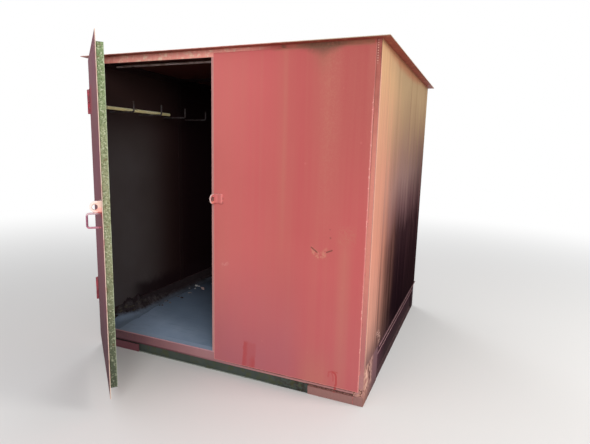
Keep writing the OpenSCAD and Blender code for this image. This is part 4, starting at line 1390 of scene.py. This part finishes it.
def seam_dirt(material, sizes):
    """Dirt packed into the open seam between the right front foot plate and the sill.

    A strip that lies on the plate's upper edge. Its section is an arch: the height of its top line, which
    wanders by smooth noise, times the root of the distance from the strip's two long edges.
    """
    start, end = SEAM_X
    x, v = spread(120, 7, (start, 0.0), (end, 1.0))
    wander = value_noise(x, x * 0, 0.030, sizes.seed + 50) * 0.0011
    wander += value_noise(x, x * 0, 0.007, sizes.seed + 51) * 0.0007
    ends = np.clip(np.minimum(x - start, end - x) / 0.006, 0.1, 1)
    z = PLATE_TOP + (0.0072 + wander) * ends * ramp(np.minimum(v, 1 - v) * 5 + 0.45) ** 0.5
    y = -0.9997 + 0.0026 * v
    upper, under = (np.stack([x, y, level], -1) for level in (z, np.full_like(z, PLATE_TOP - 0.0001)))
    points, faces = closed_sheet(upper, under)
    piece = make_piece("seam_dirt", points, faces[:, ::-1], material, "cabin")


# Operators

# Sides that have a base rail, a ledge and a top rail
SIDES = ("left", "right", "rear")


def coat(material, *names):
    """Gives CAD nodes one material."""
    for name in names:
        slots = frame["nodes"][name].data.materials
        if not slots:
            slots.append(material)
        for i in range(len(slots)):
            slots[i] = material


class CABIN_OT_front(bpy.types.Operator):
    """Paints the fixed panel and the front frame"""

    bl_idname = "cabin.front"
    bl_label = "Front"

    def execute(self, context):
        tones = context.scene.cabin_paint
        coat(front_paint(tones), "fixed_panel")
        posts = ("post_front_left", "post_front_right")
        coat(frame_paint(tones), "front_sill", "front_lintel", *posts, "mullion", "foot_plates_front")
        return {"FINISHED"}


class CABIN_OT_walls(bpy.types.Operator):
    """Paints the side and rear walls, and makes the crumpled foot plates"""

    bl_idname = "cabin.walls"
    bl_label = "Walls"

    def execute(self, context):
        tones = context.scene.cabin_paint
        coat(side_paint(tones), "left_wall", "right_wall")
        coat(rear_paint(tones), "rear_wall")
        foot_plates(foot_paint(tones), context.scene.cabin_sizes)
        return {"FINISHED"}


class CABIN_OT_base(bpy.types.Operator):
    """Paints the base rails, ledges, bearer and joists, and closes the rails' rear ends"""

    bl_idname = "cabin.base"
    bl_label = "Base"

    def execute(self, context):
        tones = context.scene.cabin_paint
        paint = base_paint(tones)
        coat(paint, *(f"{rail}_{side}" for rail in ("base_rail", "wall_ledge") for side in SIDES))
        coat(under_paint(tones), "base_rail_front", "mid_bearer", "floor_joists")
        rail_end_bars(paint)
        return {"FINISHED"}


class CABIN_OT_roof(bpy.types.Operator):
    """Paints the roof sheet"""

    bl_idname = "cabin.roof"
    bl_label = "Roof"

    def execute(self, context):
        coat(roof_paint(context.scene.cabin_paint), "roof_sheet")
        return {"FINISHED"}


class CABIN_OT_inside(bpy.types.Operator):
    """Paints the framing, purlins, tie bar, floor, hooks and hanging rail inside"""

    bl_idname = "cabin.inside"
    bl_label = "Inside"

    def execute(self, context):
        tones = context.scene.cabin_paint
        rails = (f"top_rail_{side}" for side in SIDES)
        coat(inner_paint(tones), "post_rear_left", "post_rear_right", *rails, "seam_straps", "roof_purlins")
        coat(tie_paint(tones), "tie_bar")
        coat(floor_paint(tones), "floor_plate")
        coat(hook_paint(), "wall_hooks")
        coat(rail_paint(tones), "hanging_rail")
        return {"FINISHED"}


class CABIN_OT_door(bpy.types.Operator):
    """Paints the door sheet and its frame"""

    bl_idname = "cabin.door"
    bl_label = "Door"

    def execute(self, context):
        tones = context.scene.cabin_paint
        coat(door_paint(tones), "door_sheet")
        rails = (f"door_rail_{place}" for place in ("top", "middle", "bottom"))
        coat(door_frame_paint(tones), "door_stile_hinge", "door_stile_free", *rails)
        return {"FINISHED"}


class CABIN_OT_fittings(bpy.types.Operator):
    """Paints the hinges, handle and padlock eyes"""

    bl_idname = "cabin.fittings"
    bl_label = "Fittings"

    def execute(self, context):
        tones = context.scene.cabin_paint
        halves = (f"{place}_hinge_{half}_half" for half in ("post", "door") for place in ("upper", "lower"))
        coat(fitting_paint(tones), *halves)
        coat(handle_paint(tones), "door_handle")
        coat(eye_paint(tones, "eye_paint", False), "panel_lock_eye")
        coat(eye_paint(tones, "door_eye_paint", True), "door_lock_eye")
        return {"FINISHED"}


class CABIN_OT_welds(bpy.types.Operator):
    """Lays weld beads on the front frame, the hinges, the padlock eyes and the door's frame"""

    bl_idname = "cabin.welds"
    bl_label = "Welds"

    def execute(self, context):
        tones, sizes = context.scene.cabin_paint, context.scene.cabin_sizes
        cabin_welds(weld_paint(tones, "weld_paint", tones.front, False), sizes)
        # The door's beads take its mauve, which is painted shade
        door_welds(weld_paint(tones, "door_weld_paint", tones.leaf, True), sizes)
        return {"FINISHED"}


class CABIN_OT_dirt(bpy.types.Operator):
    """Lays dirt and scraps on the floor along the left wall, and dirt in the front seam"""

    bl_idname = "cabin.dirt"
    bl_label = "Dirt"

    def execute(self, context):
        sizes = context.scene.cabin_sizes
        floor_dirt(dirt_paint(), sizes)
        floor_scraps(scrap_paint(), sizes)
        seam_dirt(seam_paint(), sizes)
        return {"FINISHED"}


def stand(name, data, place, right, up, ahead):
    """Puts a camera or a lamp at place, given its own right, up and ahead."""
    made = bpy.data.objects.new(name, data)
    axes = Matrix(np.stack([right, up, -ahead], 1).tolist()).to_4x4()
    made.matrix_world = Matrix.Translation(place) @ axes
    bpy.context.scene.collection.objects.link(made)
    return made


def photo_camera():
    """The camera at the photograph's viewpoint: turned left, tipped down and rolled a little."""
    ahead = np.array([-math.sin(YAW) * math.cos(PITCH), math.cos(YAW) * math.cos(PITCH), -math.sin(PITCH)])
    level = np.array([math.cos(YAW), math.sin(YAW), 0.0])
    upright = np.cross(level, ahead)
    right = math.cos(ROLL) * level + math.sin(ROLL) * upright
    up = math.cos(ROLL) * upright - math.sin(ROLL) * level
    lens = bpy.data.cameras.new("view")
    lens.sensor_width = SENSOR_MM
    lens.lens = FOCAL_PX / IMAGE_PX * SENSOR_MM
    lens.clip_end = 100
    return stand("view", lens, CAMERA_PLACE, right, up, ahead)


def lamp(name, place, target, size, watts, colour):
    """A round soft lamp at place that looks at target."""
    light = bpy.data.lights.new(name, "AREA")
    light.shape = "DISK"
    light.size = size
    light.energy = watts
    light.color = colour
    ahead = np.array(target) - np.array(place)
    ahead /= np.linalg.norm(ahead)
    across = np.cross(ahead, (0, 0, 1))
    across /= np.linalg.norm(across)
    stand(name, light, place, across, np.cross(across, ahead), ahead)


def soft_sky(level):
    """The world: soft light, and plain white where the camera, a mirror or glass looks at it."""
    world = bpy.data.worlds.new("soft_sky")
    sky = Tree(world)
    camera, mirror, glass = (sky.node("ShaderNodeLightPath", {}, {}, out=f"Is {kind} Ray") for kind in RAYS)
    light = sky.node("ShaderNodeBackground", {}, {"Color": WHITE, "Strength": level})
    white = sky.node("ShaderNodeBackground", {}, {"Color": WHITE, "Strength": 1.0})
    both = sky.node("ShaderNodeMixShader", {}, {0: camera.most(mirror).most(glass), 1: light, 2: white})
    sky.node("ShaderNodeOutputWorld", {}, {"Surface": both})
    return world


def stage_floor(colour):
    """The stage's floor: pale near the cabin, fading to white far off so that no horizon shows."""
    paint = Paint("stage_floor")
    camera, mirror = (paint.node("ShaderNodeLightPath", {}, {}, out=f"Is {kind} Ray") for kind in RAYS[:2])
    distance = (paint.x * paint.x + paint.y * paint.y) ** 0.5
    far = distance.above(5.2, 2.8) * camera.most(mirror)
    matt = paint.node("ShaderNodeBsdfDiffuse", {}, {"Color": colour})
    glow = paint.node("ShaderNodeEmission", {}, {"Color": WHITE, "Strength": 1.0})
    both = paint.node("ShaderNodeMixShader", {}, {0: far, 1: matt, 2: glow})
    paint.node("ShaderNodeOutputMaterial", {}, {"Surface": both})
    half, level = 30.0, -0.0005
    mesh = bpy.data.meshes.new("stage_floor")
    corners = [(-half, -half, level), (half, -half, level), (half, half, level), (-half, half, level)]
    mesh.from_pydata(corners, [], [(0, 1, 2, 3)])
    mesh.materials.append(paint.material)
    floor = bpy.data.objects.new("stage_floor", mesh)
    bpy.context.scene.collection.objects.link(floor)


class CABIN_OT_stage(bpy.types.Operator):
    """Sets the camera, the pale floor, the lamps and the soft sky"""

    bl_idname = "cabin.stage"
    bl_label = "Stage"

    def execute(self, context):
        scene = context.scene
        stage = scene.cabin_stage
        scene.camera = photo_camera()
        lamp("key", (2.8, -6.0, 3.4), (0.2, -1.0, 1.0), 3.0, stage.key, (1.0, 0.99, 0.97))
        lamp("side", (6.0, -0.2, 3.6), (1.0, -0.3, 1.0), 2.4, stage.side, (1.0, 0.97, 0.92))
        lamp("back", (-3.6, 5.6, 4.0), (-0.3, 0.6, 1.0), 3.0, stage.back, (0.97, 0.98, 1.0))
        scene.world = soft_sky(stage.sky)
        stage_floor(stage.pale)
        scene.view_settings.view_transform = "Standard"
        return {"FINISHED"}


class CABIN_PT_looks(bpy.types.Panel):
    """Lists the cabin's settings and its operators"""

    bl_idname = "CABIN_PT_looks"
    bl_label = "Site cabin"
    bl_space_type = "VIEW_3D"
    bl_region_type = "UI"
    bl_category = "Cabin"

    def draw(self, context):
        for group in (context.scene.cabin_paint, context.scene.cabin_sizes, context.scene.cabin_stage):
            box = self.layout.box()
            for key in group.__annotations__:
                box.prop(group, key)
        for operator in OPERATORS:
            self.layout.operator(operator.bl_idname)


OPERATORS = (
    CABIN_OT_stage,
    CABIN_OT_front,
    CABIN_OT_walls,
    CABIN_OT_base,
    CABIN_OT_roof,
    CABIN_OT_inside,
    CABIN_OT_door,
    CABIN_OT_fittings,
    CABIN_OT_welds,
    CABIN_OT_dirt,
)
CLASSES = (CabinPaint, CabinSizes, CabinStage, *OPERATORS, CABIN_PT_looks)


def register():
    for cls in CLASSES:
        bpy.utils.register_class(cls)
    bpy.types.Scene.cabin_paint = PointerProperty(type=CabinPaint)
    bpy.types.Scene.cabin_sizes = PointerProperty(type=CabinSizes)
    bpy.types.Scene.cabin_stage = PointerProperty(type=CabinStage)


def unregister():
    del bpy.types.Scene.cabin_stage
    del bpy.types.Scene.cabin_sizes
    del bpy.types.Scene.cabin_paint
    for cls in reversed(CLASSES):
        bpy.utils.unregister_class(cls)


def corners(box):
    """A box as plain lists of numbers."""
    return [[float(v) for v in corner] for corner in box]


def main():
    register()
    bpy.ops.cabin.stage()
    bpy.ops.cabin.front()
    bpy.ops.cabin.walls()
    bpy.ops.cabin.base()
    bpy.ops.cabin.roof()
    bpy.ops.cabin.inside()
    bpy.ops.cabin.door()
    bpy.ops.cabin.fittings()
    bpy.ops.cabin.welds()
    bpy.ops.cabin.dirt()


if __name__ == "__main__":
    main()
